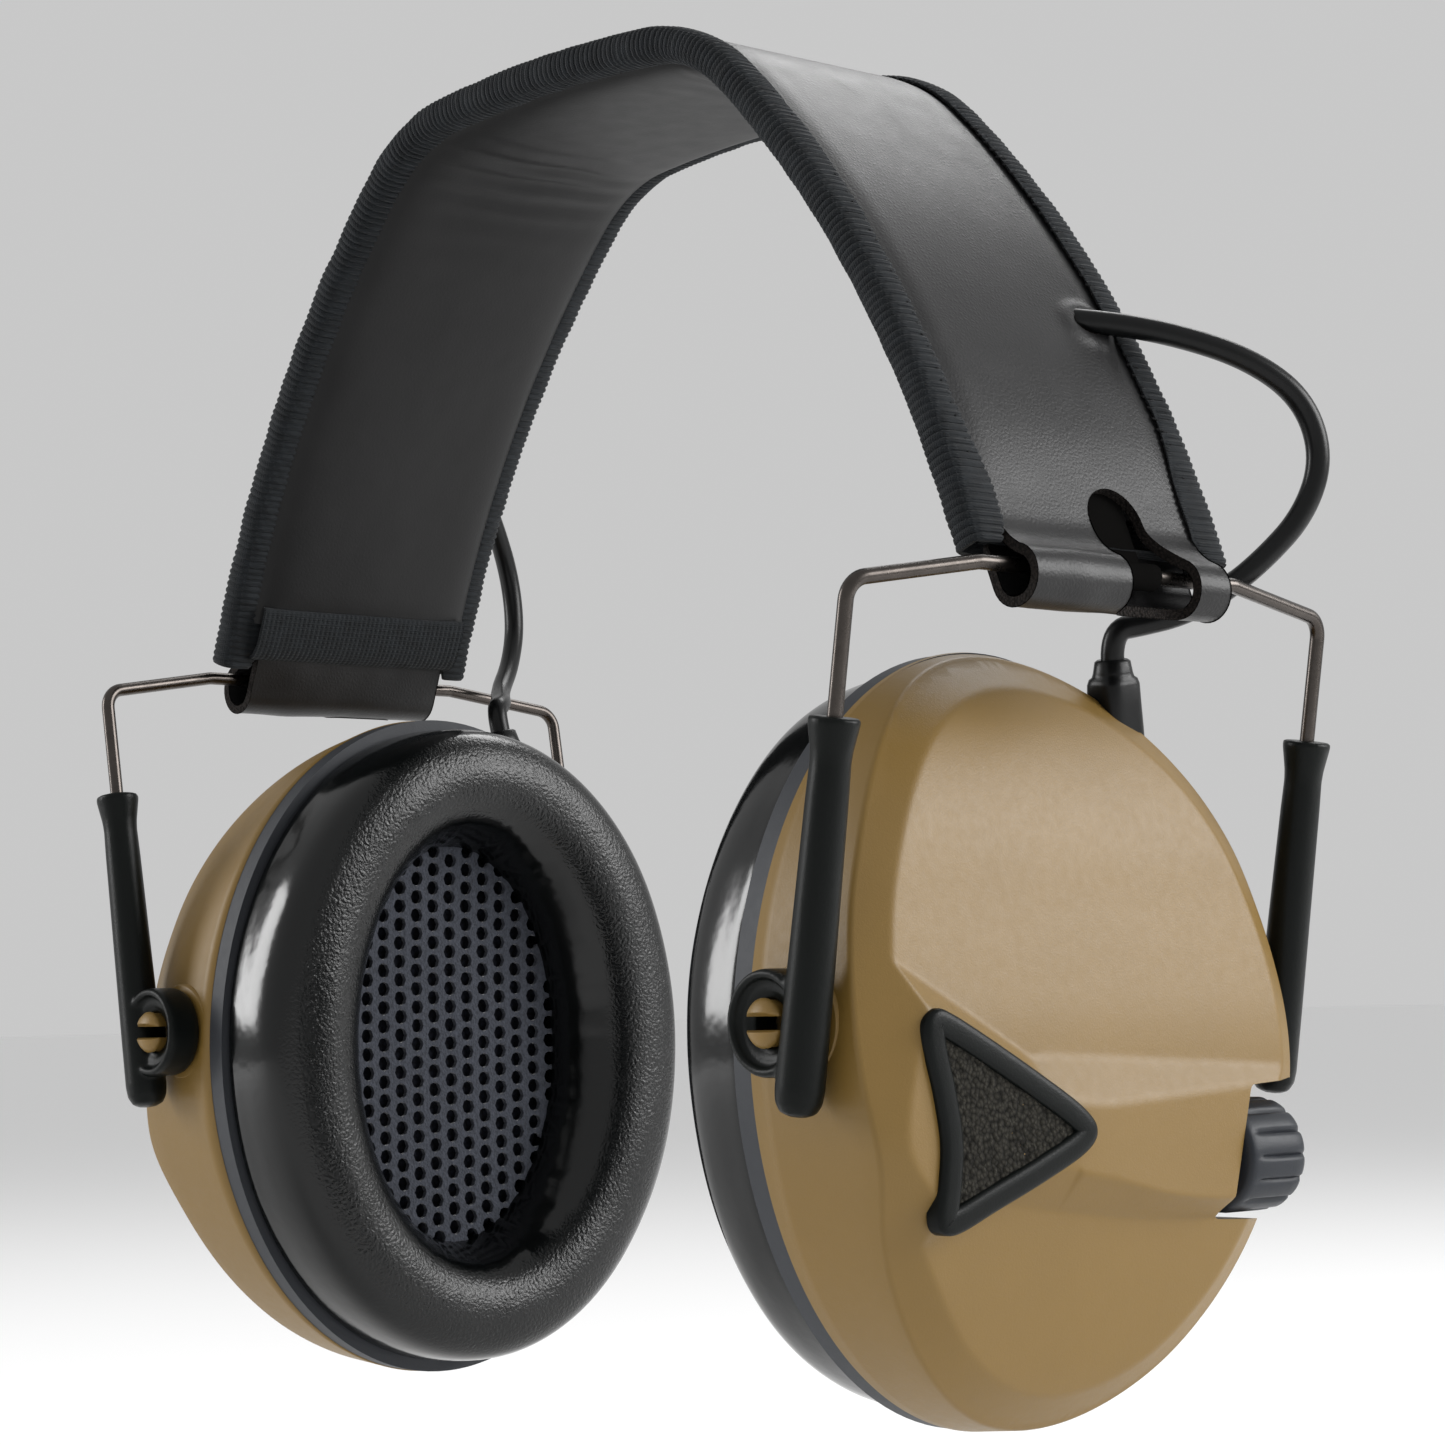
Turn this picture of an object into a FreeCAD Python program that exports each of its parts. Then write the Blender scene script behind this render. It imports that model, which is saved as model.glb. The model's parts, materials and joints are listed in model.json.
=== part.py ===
import FreeCAD, Part
import math
import os

# Folding electronic earmuff: a leather headband over the crown, a wire bail in each rolled end,
# two slide arms on each bail, and an ear cup pivoted between them.
# Millimetres. +Z up, +X to the wearer's left, the wearer faces -Y.
# The origin is the middle of the headband's underside, where it rests on the head.

V = FreeCAD.Vector

# ---- headband ----------------------------------------------------------------------------
COVER = 1.4                 # outer leather
SPRING = 0.5                # sprung steel strip under it
PAD_DEPTH = 5.0             # outer face to the padding's inner face, in the middle
EDGE_DEPTH = 2.6            # the same at the pressed edges
LINING = 0.5                # inner leather
LAYER_GAP = 0.05
BAND_THICK = PAD_DEPTH + LAYER_GAP + LINING
CROWN_TURN = 5.2            # half the flat crown, degrees
CROWN_R = 250.0
SHOULDER_TURN = 38.8
SHOULDER_R = 28.0
SIDE_TURN = 25.0
SIDE_R = 166.0
BAND_HALF = 22.2            # leather and lining, half width
PAD_HALF = 16.5
SPRING_HALF = 9.0
TRIM = 0.5                  # woven edge binding
TRIM_LAP = 18.7             # where the binding's inner edge lies, from the centre line
TRIM_TAIL = 9.0             # binding past the end of the side arc
ROLL_HALF = 17.5            # rolled end, half length
FLARE_LEAD = 3.5
FLARE_R = 8.0
FLARE_TURN = 46.3
ROLL_R = 3.9
ROLL_RETURN = 5.0           # leather running back up inside the roll
WINDOW_Y = 4.0              # slot in the roll that shows the spring's hook
WINDOW_HALF = 4.3
WINDOW_TALL = 12.0
WINDOW_SIDE = 0.4           # how far past the roll's middle the slot reaches
HOOK_HALF = 3.7
HOOK_CLEAR = 0.28
HOOK_BEND_R = 6.0
HOOK_CURL = 235.0           # degrees round the bail bar
STRIP_DEPTH = (5.2, 5.8)    # tape across the padding's end, from the outer face
STRIP_HALF = 18.0
STRIP_ABOVE = 1.5           # from the side arc's end
STRIP_TALL = 7.0

# ---- wire bails --------------------------------------------------------------------------
WIRE_R = 0.95
WIRE_BEND_R = 3.0
BAR_OUT = -0.6              # bail bar from the roll's centre
BAR_UP = 1.3
BAR_STRAIGHT = 23.0
LEG_Y = 42.6
LEG_X = 80.75
LEG_Z = -76.3
LEG_LEAN = 9.8              # degrees, tops outwards
LEG_LENGTH = 47.0

# ---- slide arms --------------------------------------------------------------------------
ARM_START = 16.1            # along the leg from the bail's corner
ARM_LENGTH = 46.6
ARM_TOP_R = 2.45
ARM_FOOT_R = 2.95
COLLAR_R = 3.0
COLLAR_LENGTH = 4.0
ARM_BORE_R = 1.05
ARM_BORE_DEPTH = 42.5
PIVOT_X = 66.7
PIVOT_Z = -127.2
BOSS_R = 6.3
BOSS_FROM_Y = 39.6
BOSS_TO_Y = 44.9
BOSS_DISH_R = 5.2
BOSS_DISH = 1.1
STUD_R = 2.7
STUD_BORE_R = 2.76
STUD_HEAD_R = 3.35
STUD_HEAD_Y = 44.1
STUD_HEAD = (2.2, 1.9)      # the head's end radius and its length
STUD_SLOT = (41.0, 0.8)     # where the split starts and its half width
FOOT_ROUND = 1.6

# ---- ear cups ----------------------------------------------------------------------------
CUP_Z = -129.9
CUP_HALF_Y = 38.9
CUP_HALF_Z = 48.5
CUP_WALL = 2.0
CUP_CHAMFER = 3.0
SHELL_X = 59.4              # where the shell meets the base plate
RIDGE_X = 78.8              # outer face at mid height
FACE_FLAT = (3.0, -20.0)    # its steepest part, heights from the cup's centre
FACE_MID_DROP = 3.6         # how far the face falls away half way to each end
FACE_UPPER = (60.0, 25.0)   # X at the top end, height half way up
FACE_LOWER = (64.0, -36.0)  # X at the bottom end, height half way down
FACE_END = 52.0
FACE_BACK = 50.0
BAR_RISE = 1.8              # raised bar on the outer face
BAR_INSET = 3.0
BAR_OUTLINE = [(-40, 10.5), (-13.4, -1.9), (31, -4.3), (31, -26),
               (-5, -21.8), (-17.9, -20), (-40, -26.5)]
MIC_OUTLINE = [(-31.5, 2.2), (-31.5, -21.6), (-3.6, -10.6)]
MIC_FLOOR = 77.2
MIC_WALL = 1.8
MIC_PROUD = 0.9
PAD_RISE_Y = 39.3           # round pad behind each pivot
PAD_R = 7.2
PLATE_X = 55.5
PLATE_GROW = 0.5
PLATE_HOLE_Y = 26.0
PLATE_HOLE_Z = 36.0
PLATE_FLOOR = 1.6
SPEAKER_R = 15.0
CUSHION_X = 42.0
CUSHION_HALF_Y = 38.0
CUSHION_HALF_Z = 46.8
EAR_HALF_Y = 21.2
EAR_HALF_Z = 31.6
CUSHION_ROUND = 6.0
KNOB_X = 74.5
KNOB_DROP = -15.7           # knob axis below the cup's centre
KNOB_R = 7.4
KNOB_FROM_Y = 24.5
KNOB_TO_Y = 35.5
KNOB_FLUTES = 16
KNOB_GAP = 0.8
BAY_WALL = 1.6
SHAFT_R = 1.5
SHAFT_FROM_Y = 21.1
POT = ((68.4, 76.2), (15.4, 21.0), 4.5)
CABLE_R = 1.55
LEAD_DEPTH = 3.05
LEAD_Y = 11.0
LEFT_ROUTE = [(63.6, 11.0, -37.0), (68.2, 15.6, -37.6), (74.2, 23.5, -39.4), (79.6, 31.8, -42.6),
              (82.8, 38.4, -47.6), (83.6, 41.0, -55.2), (81.8, 39.0, -62.8), (78.4, 34.0, -69.0),
              (75.0, 29.5, -73.2), (71.2, 26.3, -75.6), (67.8, 22.8, -76.7), (65.5, 19.0, -77.5),
              (65.0, 19.6, -81.4)]
RIGHT_ROUTE = [(63.6, 11.0, -37.0), (68.2, 15.6, -37.6), (74.2, 22.7, -40.0), (79.4, 30.0, -45.2),
               (81.8, 35.0, -53.5), (81.2, 35.6, -62.0), (78.4, 32.2, -69.0), (74.4, 27.0, -73.6),
               (70.8, 24.2, -75.5), (67.8, 22.2, -76.6), (65.5, 19.0, -77.5), (65.0, 19.6, -81.4)]
RELIEF_LENGTH = 11.5
RELIEF_R = (2.5, 3.4)
LEAD_FROM_Z = -35.2         # the hidden lead over the crown stops above each way out
CHANNEL_FROM_Z = -38.0
ROUTE_CLEAR = 0.3


def box(x, y, z):
    """A box from its three spans."""
    return Part.makeBox(x[1] - x[0], y[1] - y[0], z[1] - z[0], V(x[0], y[0], z[0]))


def cylinder(radius, start, end):
    start, end = V(*start), V(*end)
    return Part.makeCylinder(radius, (end - start).Length, start, end - start)


def mirrored(shape):
    """The same piece on the wearer's right."""
    return shape.mirror(V(0, 0, 0), V(1, 0, 0))


def front(shape):
    """The same piece on the other side of the ear's pivot line."""
    return shape.mirror(V(0, 0, 0), V(0, 1, 0))


def save(node, shape):
    solid = shape.removeSplitter()
    solid.exportStep("parts/" + node + ".step")
    print(node, "solids", len(solid.Solids), "volume", round(solid.Volume, 1), solid.isValid())


def save_pair(name, shape):
    save("left_" + name, shape)
    save("right_" + name, mirrored(shape))


# ---- paths in the X-Z plane --------------------------------------------------------------
def travel(start, heading, moves, depth=0.0):
    """Tangent arcs and lines from start, each side shifted by depth to the right of travel.
    A move is (radius, turn): clockwise for a positive radius, anticlockwise for a negative
    one, and straight for turn for a radius of 0. Returns the edges and the end pose."""
    x, z = start
    edges = []
    for radius, turn in moves:
        h = math.radians(heading)
        right = (math.sin(h), -math.cos(h))
        a = V(x + right[0] * depth, 0, z + right[1] * depth)
        if radius == 0:
            x += math.cos(h) * turn
            z += math.sin(h) * turn
            b = V(x + right[0] * depth, 0, z + right[1] * depth)
            edges.append(Part.LineSegment(a, b).toShape())
            continue
        cx = x + right[0] * radius
        cz = z + right[1] * radius
        spin = -turn if radius > 0 else turn
        points = []
        for part in (0.5, 1.0):
            t = math.radians(spin * part)
            dx, dz = x - cx, z - cz
            px = cx + dx * math.cos(t) - dz * math.sin(t)
            pz = cz + dx * math.sin(t) + dz * math.cos(t)
            hp = h + t
            points.append((px, pz, V(px + math.sin(hp) * depth, 0, pz - math.cos(hp) * depth)))
        edges.append(Part.Arc(a, points[0][2], points[1][2]).toShape())
        x, z = points[1][0], points[1][1]
        heading += spin
    return edges, (x, z), heading


def strip(start, heading, moves, depths, y):
    """A sheet between two depths beside a path, spanning y."""
    outer = travel(start, heading, moves, depths[0])[0]
    inner = travel(start, heading, moves, depths[1])[0]
    ends = []
    for a, b in ((outer[0].Vertexes[0], inner[0].Vertexes[0]),
                 (outer[-1].Vertexes[-1], inner[-1].Vertexes[-1])):
        ends.append(Part.LineSegment(a.Point, b.Point).toShape())
    face = Part.Face(Part.Wire(Part.__sortEdges__(outer + inner + ends)))
    solid = face.extrude(V(0, y[1] - y[0], 0))
    solid.translate(V(0, y[0], 0))
    return solid


CROWN = (0.0, BAND_THICK)
ARCH = [(CROWN_R, CROWN_TURN), (SHOULDER_R, SHOULDER_TURN), (SIDE_R, SIDE_TURN)]
ARCH_END, ARCH_HEADING = travel(CROWN, 0.0, ARCH)[1:]
FLARE = [(0, FLARE_LEAD), (-FLARE_R, FLARE_TURN)]
FLARE_END, FLARE_HEADING = travel(ARCH_END, ARCH_HEADING, FLARE)[1:]
ROLL_TURN = 180.0 + FLARE_HEADING - ARCH_HEADING
ROLL_IN = math.radians(FLARE_HEADING)
ROLL_X = FLARE_END[0] + ROLL_R * math.sin(ROLL_IN)
ROLL_Z = FLARE_END[1] - ROLL_R * math.cos(ROLL_IN)
BAR_X = ROLL_X + BAR_OUT
BAR_Z = ROLL_Z + BAR_UP
print("roll centre", round(ROLL_X, 2), round(ROLL_Z, 2), "bar", round(BAR_X, 2), round(BAR_Z, 2))


def half_band(depths, y, tail=0.0):
    moves = ARCH + ([(0, tail)] if tail else [])
    return strip(CROWN, 0.0, moves, depths, y)


def band(depths, y, tail=0.0):
    """A layer of the whole arch, tail past each side arc."""
    half = half_band(depths, y, tail)
    return half.fuse(mirrored(half))


def joined(*shapes):
    result = shapes[0]
    for shape in shapes[1:]:
        result = result.fuse(shape)
    return result.removeSplitter()


# ---- round sections along a route --------------------------------------------------------
def rounded_route(points, radii=None, label=None):
    """Straight runs joined by tangent arcs. Without radii each arc is as large as its runs
    allow: 0.45 of the shorter run over the tangent of half the turn."""
    pts = [V(*p) for p in points]
    edges = []
    used = []
    last = pts[0]
    for i in range(1, len(pts) - 1):
        before, after = pts[i] - pts[i - 1], pts[i + 1] - pts[i]
        half = before.getAngle(after) / 2
        if radii is None:
            radius = 0.45 * min(before.Length, after.Length) / math.tan(half)
        else:
            radius = radii[i - 1]
        cut = radius * math.tan(half)
        used.append(round(radius, 1))
        u, w = V(before).normalize(), V(after).normalize()
        a, b = pts[i] - u * cut, pts[i] + w * cut
        inward = (w - u).normalize()
        middle = pts[i] + inward * (radius / math.cos(half) - radius)
        edges.append(Part.LineSegment(last, a).toShape())
        edges.append(Part.Arc(a, middle, b).toShape())
        last = b
    edges.append(Part.LineSegment(last, pts[-1]).toShape())
    if label:
        print(label, "radii", used, "length", round(sum(e.Length for e in edges), 1))
    return Part.Wire(edges)


def tube(route, radius):
    first = route.Edges[0]
    start = first.valueAt(first.FirstParameter)
    ahead = first.tangentAt(first.FirstParameter)
    section = Part.Wire(Part.makeCircle(radius, start, ahead))
    solid = route.makePipeShell([section], True, True)
    print("   tube volume / (section x length)",
          round(solid.Volume / (math.pi * radius ** 2 * route.Length), 4))
    return solid


def ellipse_prism(half_y, half_z, x, z=CUP_Z):
    """An oval block across X."""
    centre = V(x[0], 0, z)
    curve = Part.Ellipse(centre + V(0, 0, half_z), centre + V(0, half_y, 0), centre)
    return Part.Face(Part.Wire(curve.toShape())).extrude(V(x[1] - x[0], 0, 0))


# ---- headband pieces ---------------------------------------------------------------------
def window():
    """The slot cut through the outside of each roll, rounded at its top."""
    foot = ROLL_Z - ROLL_R - 1
    top = foot + WINDOW_TALL
    x = (ROLL_X - WINDOW_SIDE, ROLL_X + 9)
    y = (WINDOW_Y - WINDOW_HALF, WINDOW_Y + WINDOW_HALF)
    low = box(x, y, (foot, top))
    arch = cylinder(WINDOW_HALF, (ROLL_X - 3, WINDOW_Y, top), (ROLL_X + 9, WINDOW_Y, top))
    return low.fuse(arch).fuse(box((ROLL_X - 2.5, ROLL_X), y, (ROLL_Z + 2.6, top)))


def slit():
    """The rounded slot in the outer leather where a lead comes out."""
    a, b = V(*LEFT_ROUTE[0]), V(*LEFT_ROUTE[1])
    ahead = (b - a).normalize()
    return Part.makeCylinder(CABLE_R + 0.35, 12.0, a - ahead * 1.0, ahead)


def headband_cover():
    depths = (0.0, COVER)
    sheet = band(depths, (-BAND_HALF, BAND_HALF), FLARE_LEAD)
    tail = [(0, TRIM_TAIL)]
    tab = strip(ARCH_END, ARCH_HEADING, tail, depths, (TRIM_LAP, BAND_HALF))
    moves = FLARE + [(ROLL_R, ROLL_TURN), (0, ROLL_RETURN)]
    roll = strip(ARCH_END, ARCH_HEADING, moves, depths, (-ROLL_HALF, ROLL_HALF))
    end = joined(roll, tab, front(tab)).cut(window())
    whole = joined(sheet, end, mirrored(end))
    return whole.cut(slit()).cut(mirrored(slit()))


def headband_spring():
    top = COVER + LAYER_GAP
    depths = (top, top + SPRING)
    strap = band(depths, (-SPRING_HALF, SPRING_HALF))
    tongue_y = (WINDOW_Y - HOOK_HALF, WINDOW_Y + HOOK_HALF)
    heading = math.radians(ARCH_HEADING)
    along = (math.cos(heading), math.sin(heading))
    right = (math.sin(heading), -math.cos(heading))
    bar = (BAR_X - ARCH_END[0], BAR_Z - ARCH_END[1])
    reach = bar[0] * along[0] + bar[1] * along[1]
    side = bar[0] * right[0] + bar[1] * right[1]
    eye = WIRE_R + HOOK_CLEAR
    shift = side + eye - top
    swerve = math.degrees(math.acos(1 - abs(shift) / (2 * HOOK_BEND_R)))
    run = 2 * HOOK_BEND_R * math.sin(math.radians(swerve))
    sign = 1 if shift > 0 else -1
    lead = reach - run
    start = (ARCH_END[0] + right[0] * top, ARCH_END[1] + right[1] * top)
    bend = sign * HOOK_BEND_R
    moves = [(0, lead), (bend, swerve), (-bend, swerve), (-eye, HOOK_CURL)]
    hook = strip(start, ARCH_HEADING, moves, (0.0, SPRING), tongue_y)
    return joined(strap, hook, mirrored(hook))


def headband_foam():
    flange = band((COVER + LAYER_GAP, EDGE_DEPTH), (-BAND_HALF, BAND_HALF))
    pad = band((COVER + LAYER_GAP, PAD_DEPTH), (-PAD_HALF, PAD_HALF))
    room = band((COVER, COVER + 2 * LAYER_GAP + SPRING),
                (-SPRING_HALF - LAYER_GAP, SPRING_HALF + LAYER_GAP))
    channel = tube(LEAD_PATH, CABLE_R + 2 * LAYER_GAP)
    channel = channel.cut(box((-100, 100), (0, 20), (-80, CHANNEL_FROM_Z)))
    leave = tube(rounded_route(LEFT_ROUTE[:3]), CABLE_R + ROUTE_CLEAR)
    foam = joined(flange, pad).cut(room).cut(channel)
    return foam.cut(leave).cut(mirrored(leave))


def band_lead():
    """The lead that joins the two cups, in its channel over the crown."""
    lead = tube(LEAD_PATH, CABLE_R)
    return lead.cut(box((-100, 100), (0, 20), (-80, LEAD_FROM_Z)))


def headband_lining():
    inner = PAD_DEPTH + LAYER_GAP
    edge = EDGE_DEPTH + LAYER_GAP
    side = PAD_HALF + LAYER_GAP
    wall = band((edge, inner + LINING), (side, side + LINING))
    skirt = band((edge, edge + LINING), (side, BAND_HALF))
    middle = band((inner, inner + LINING), (-side - LINING, side + LINING))
    return joined(middle, wall, front(wall), skirt, front(skirt))


def rear_binding():
    """A woven tape folded round one long edge."""
    inner = EDGE_DEPTH + LINING + 2 * LAYER_GAP
    outer = -LAYER_GAP
    edge = BAND_HALF + LAYER_GAP
    over = band((outer - TRIM, outer), (TRIM_LAP, edge), TRIM_TAIL)
    under = band((inner, inner + TRIM), (TRIM_LAP, edge), TRIM_TAIL)
    web = band((outer - TRIM, inner + TRIM), (edge, edge + TRIM), TRIM_TAIL)
    return joined(over, under, web)


def left_end_strip():
    """The tape that finishes the padding's end, above the roll."""
    back = travel(ARCH_END, ARCH_HEADING, [(0, -STRIP_ABOVE)])[1]
    tape = strip(back, ARCH_HEADING, [(0, STRIP_TALL)], STRIP_DEPTH, (-STRIP_HALF, STRIP_HALF))
    return tape.cut(band((PAD_DEPTH - 1, BAND_THICK + LAYER_GAP), (-STRIP_HALF - 1, STRIP_HALF + 1)))


# ---- bail and arms -----------------------------------------------------------------------
LEAN = math.radians(LEG_LEAN)
LEG_DOWN = V(-math.sin(LEAN), 0, -math.cos(LEAN))


def leg_point(distance, y=LEG_Y):
    point = V(LEG_X, y, LEG_Z) + LEG_DOWN * distance
    return (point.x, point.y, point.z)


def bail_wire():
    half = [(BAR_X, BAR_STRAIGHT, BAR_Z), (LEG_X, LEG_Y, LEG_Z), leg_point(LEG_LENGTH)]
    points = [(x, -y, z) for x, y, z in reversed(half)] + half
    return tube(rounded_route(points, [WIRE_BEND_R] * 4, "bail"), WIRE_R)


def rear_arm():
    """A tube on the bail's leg with a dished boss for the cup's stud."""
    top = V(*leg_point(ARM_START))
    body = Part.makeCone(ARM_TOP_R, ARM_FOOT_R, ARM_LENGTH, top, LEG_DOWN)
    foot_edge = [e for e in body.Edges if e.BoundBox.ZMax < top.z - ARM_LENGTH / 2]
    body = body.makeFillet(FOOT_ROUND, foot_edge)
    collar = Part.makeCone(COLLAR_R, ARM_TOP_R, COLLAR_LENGTH, top, LEG_DOWN)
    boss = cylinder(BOSS_R, (PIVOT_X, BOSS_FROM_Y, PIVOT_Z), (PIVOT_X, BOSS_TO_Y, PIVOT_Z))
    dish = cylinder(BOSS_DISH_R, (PIVOT_X, BOSS_TO_Y - BOSS_DISH, PIVOT_Z),
                    (PIVOT_X, BOSS_TO_Y + 1, PIVOT_Z))
    eye = cylinder(STUD_BORE_R, (PIVOT_X, BOSS_FROM_Y - 1, PIVOT_Z),
                   (PIVOT_X, BOSS_TO_Y + 1, PIVOT_Z))
    head_room = cylinder(STUD_HEAD_R + 0.2, (PIVOT_X, BOSS_TO_Y - BOSS_DISH, PIVOT_Z),
                         (PIVOT_X, BOSS_TO_Y + 3, PIVOT_Z))
    bore = Part.makeCylinder(ARM_BORE_R, ARM_BORE_DEPTH + 1, top - LEG_DOWN, LEG_DOWN)
    arm = joined(boss.cut(dish), body, collar)
    return arm.cut(eye).cut(head_room).cut(bore)


# ---- ear cup -----------------------------------------------------------------------------
def face_profile(inset):
    """The cup's side outline in X-Z: an outer face that falls away above and below."""
    x = RIDGE_X - inset
    z = CUP_Z
    middle = x - FACE_MID_DROP
    upper_end = V(FACE_UPPER[0] - inset, 0, z + FACE_END)
    lower_end = V(FACE_LOWER[0] - inset, 0, z - FACE_END)
    flat_top = V(x, 0, z + FACE_FLAT[0])
    flat_foot = V(x, 0, z + FACE_FLAT[1])
    back_foot = V(FACE_BACK, 0, z - FACE_END)
    back_top = V(FACE_BACK, 0, z + FACE_END)
    top = Part.Arc(upper_end, V(middle, 0, z + FACE_UPPER[1]), flat_top).toShape()
    flat = Part.LineSegment(flat_top, flat_foot).toShape()
    foot = Part.Arc(flat_foot, V(middle, 0, z + FACE_LOWER[1]), lower_end).toShape()
    low = Part.LineSegment(lower_end, back_foot).toShape()
    back = Part.LineSegment(back_foot, back_top).toShape()
    roof = Part.LineSegment(back_top, upper_end).toShape()
    outline = Part.Wire([top, flat, foot, low, back, roof])
    solid = Part.Face(outline).extrude(V(0, 2 * FACE_END, 0))
    solid.translate(V(0, -FACE_END, 0))
    return solid


def polygon_prism(outline, x):
    """A block across X from an outline of (y, height from the cup's centre)."""
    points = [V(x[0], y, CUP_Z + z) for y, z in outline]
    return Part.Face(Part.makePolygon(points + points[:1])).extrude(V(x[1] - x[0], 0, 0))


def cup_block(inset, start):
    wall = ellipse_prism(CUP_HALF_Y - inset, CUP_HALF_Z - inset, (start, 90))
    return wall.common(face_profile(inset))


def chamfered_cup():
    """The cup's outside, its rim cut back all round the outer face."""
    block = cup_block(0.0, SHELL_X)
    rim = [e for e in block.Edges if e.BoundBox.XMax > SHELL_X + 2 and abs(e.CenterOfMass.y) > 1]
    return block.makeChamfer(CUP_CHAMFER, rim)


def shrunk(outline, by):
    """The same outline drawn in towards its middle."""
    cy = sum(p[0] for p in outline) / len(outline)
    cz = sum(p[1] for p in outline) / len(outline)
    return [(cy + (y - cy) * by, cz + (z - cz) * by) for y, z in outline]


def knob_bay(grow):
    """The notch in the shell's rear edge that the volume knob sits in."""
    drop = CUP_Z + KNOB_DROP
    half = KNOB_R + KNOB_GAP + grow
    return box((KNOB_X - half, 95), (KNOB_FROM_Y - 0.6 - grow, 50), (drop - half, drop + half))


def pivot_stud(y_from):
    """The round pad on the wall and the split snap stud that stands on it."""
    pad = cylinder(PAD_R, (PIVOT_X, y_from, PIVOT_Z), (PIVOT_X, PAD_RISE_Y, PIVOT_Z))
    shank = cylinder(STUD_R, (PIVOT_X, y_from, PIVOT_Z), (PIVOT_X, STUD_HEAD_Y, PIVOT_Z))
    neck = V(PIVOT_X, STUD_HEAD_Y, PIVOT_Z)
    head = Part.makeCone(STUD_HEAD_R, STUD_HEAD[0], STUD_HEAD[1], neck, V(0, 1, 0))
    start, half = STUD_SLOT
    slot = box((PIVOT_X - 5, PIVOT_X + 5), (start, 50), (PIVOT_Z - half, PIVOT_Z + half))
    return joined(pad, joined(shank, head).cut(slot))


def cup_shell(has_knob):
    shell = chamfered_cup()
    bar = polygon_prism(BAR_OUTLINE, (70, RIDGE_X + BAR_RISE))
    bar = bar.common(ellipse_prism(CUP_HALF_Y - BAR_INSET, CUP_HALF_Z - BAR_INSET, (60, 90)))
    hollow = cup_block(CUP_WALL, SHELL_X - 1)
    hollow = hollow.cut(polygon_prism(shrunk(MIC_OUTLINE, 1.25), (MIC_FLOOR - MIC_WALL, 90)))
    if has_knob:
        hollow = hollow.cut(knob_bay(BAY_WALL))
    stud = pivot_stud(36.0)
    shell = joined(shell, bar, stud, front(stud)).cut(hollow)
    shell = shell.cut(polygon_prism(MIC_OUTLINE, (MIC_FLOOR, 90)))
    if has_knob:
        shell = shell.cut(knob_bay(0.0))
        drop = CUP_Z + KNOB_DROP
        shell = shell.cut(cylinder(SHAFT_R + 0.5, (KNOB_X, 20, drop), (KNOB_X, 26, drop)))
    return shell


# ---- pieces inside and on the cup --------------------------------------------------------
DOOR_Z = (-41.0, -27.0)
DOOR_HALF_Y = 15.0
DOOR_GAP = 0.3
HINGE_X = 72.3
HINGE_DROP = -41.0
DOOR_PIN_R = 0.6
DOOR_BARREL_R = 1.2
CELL_R = 5.25
CELL_LENGTH = 44.5
CELLS = [(67.6, -20.0), (66.6, -31.2)]


def door_prism(grow, start):
    z = (CUP_Z + DOOR_Z[0] - grow, CUP_Z + DOOR_Z[1] + grow)
    return box((start, 90), (-DOOR_HALF_Y - grow, DOOR_HALF_Y + grow), z)


def door_hinge(radius, half):
    z = CUP_Z + HINGE_DROP
    return cylinder(radius, (HINGE_X, -half, z), (HINGE_X, half, z))


def battery_door():
    skin = chamfered_cup().cut(cup_block(CUP_WALL - 0.2, 59))
    lid = skin.common(door_prism(0.0, 60))
    return joined(lid, door_hinge(DOOR_BARREL_R, DOOR_HALF_Y)).cut(door_hinge(DOOR_PIN_R + 0.06, 20))


def battery_shell():
    """The right cup's shell, made here on the left side of the frame like every cup piece."""
    swing = door_hinge(DOOR_BARREL_R + 0.3, DOOR_HALF_Y + DOOR_GAP)
    open_shell = cup_shell(False).cut(door_prism(DOOR_GAP, 60)).cut(swing)
    return open_shell.cut(door_hinge(DOOR_PIN_R + 0.03, DOOR_HALF_Y + 2.2))


def relief():
    """The tapered boot that holds the lead where it enters the cup."""
    top = V(*LEFT_ROUTE[-1])
    down = top - V(*LEFT_ROUTE[-2])
    return Part.makeCone(RELIEF_R[0], RELIEF_R[1], RELIEF_LENGTH, top, down)


def base_plate():
    half_y, half_z = CUP_HALF_Y + PLATE_GROW, CUP_HALF_Z + PLATE_GROW
    rim = ellipse_prism(half_y, half_z, (PLATE_X, SHELL_X - LAYER_GAP))
    hole = ellipse_prism(PLATE_HOLE_Y, PLATE_HOLE_Z, (PLATE_X - 1, SHELL_X - PLATE_FLOOR))
    mouth = cylinder(SPEAKER_R + 0.3, (PLATE_X - 1, 0, CUP_Z), (SHELL_X + 1, 0, CUP_Z))
    return rim.cut(hole).cut(mouth)


def ear_cushion():
    ring = ellipse_prism(CUSHION_HALF_Y, CUSHION_HALF_Z, (CUSHION_X, PLATE_X - LAYER_GAP))
    ring = ring.cut(ellipse_prism(EAR_HALF_Y, EAR_HALF_Z, (CUSHION_X - 1, PLATE_X + 1)))
    crown = [e for e in ring.Edges if abs(e.CenterOfMass.x - CUSHION_X) < 0.01]
    return ring.makeFillet(CUSHION_ROUND, crown)


def mesh_liner():
    return ellipse_prism(EAR_HALF_Y - 0.3, EAR_HALF_Z - 0.3, (53.2, 54.2))


def ear_foam():
    return ellipse_prism(EAR_HALF_Y - 0.3, EAR_HALF_Z - 0.3, (54.3, 57.6))


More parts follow.
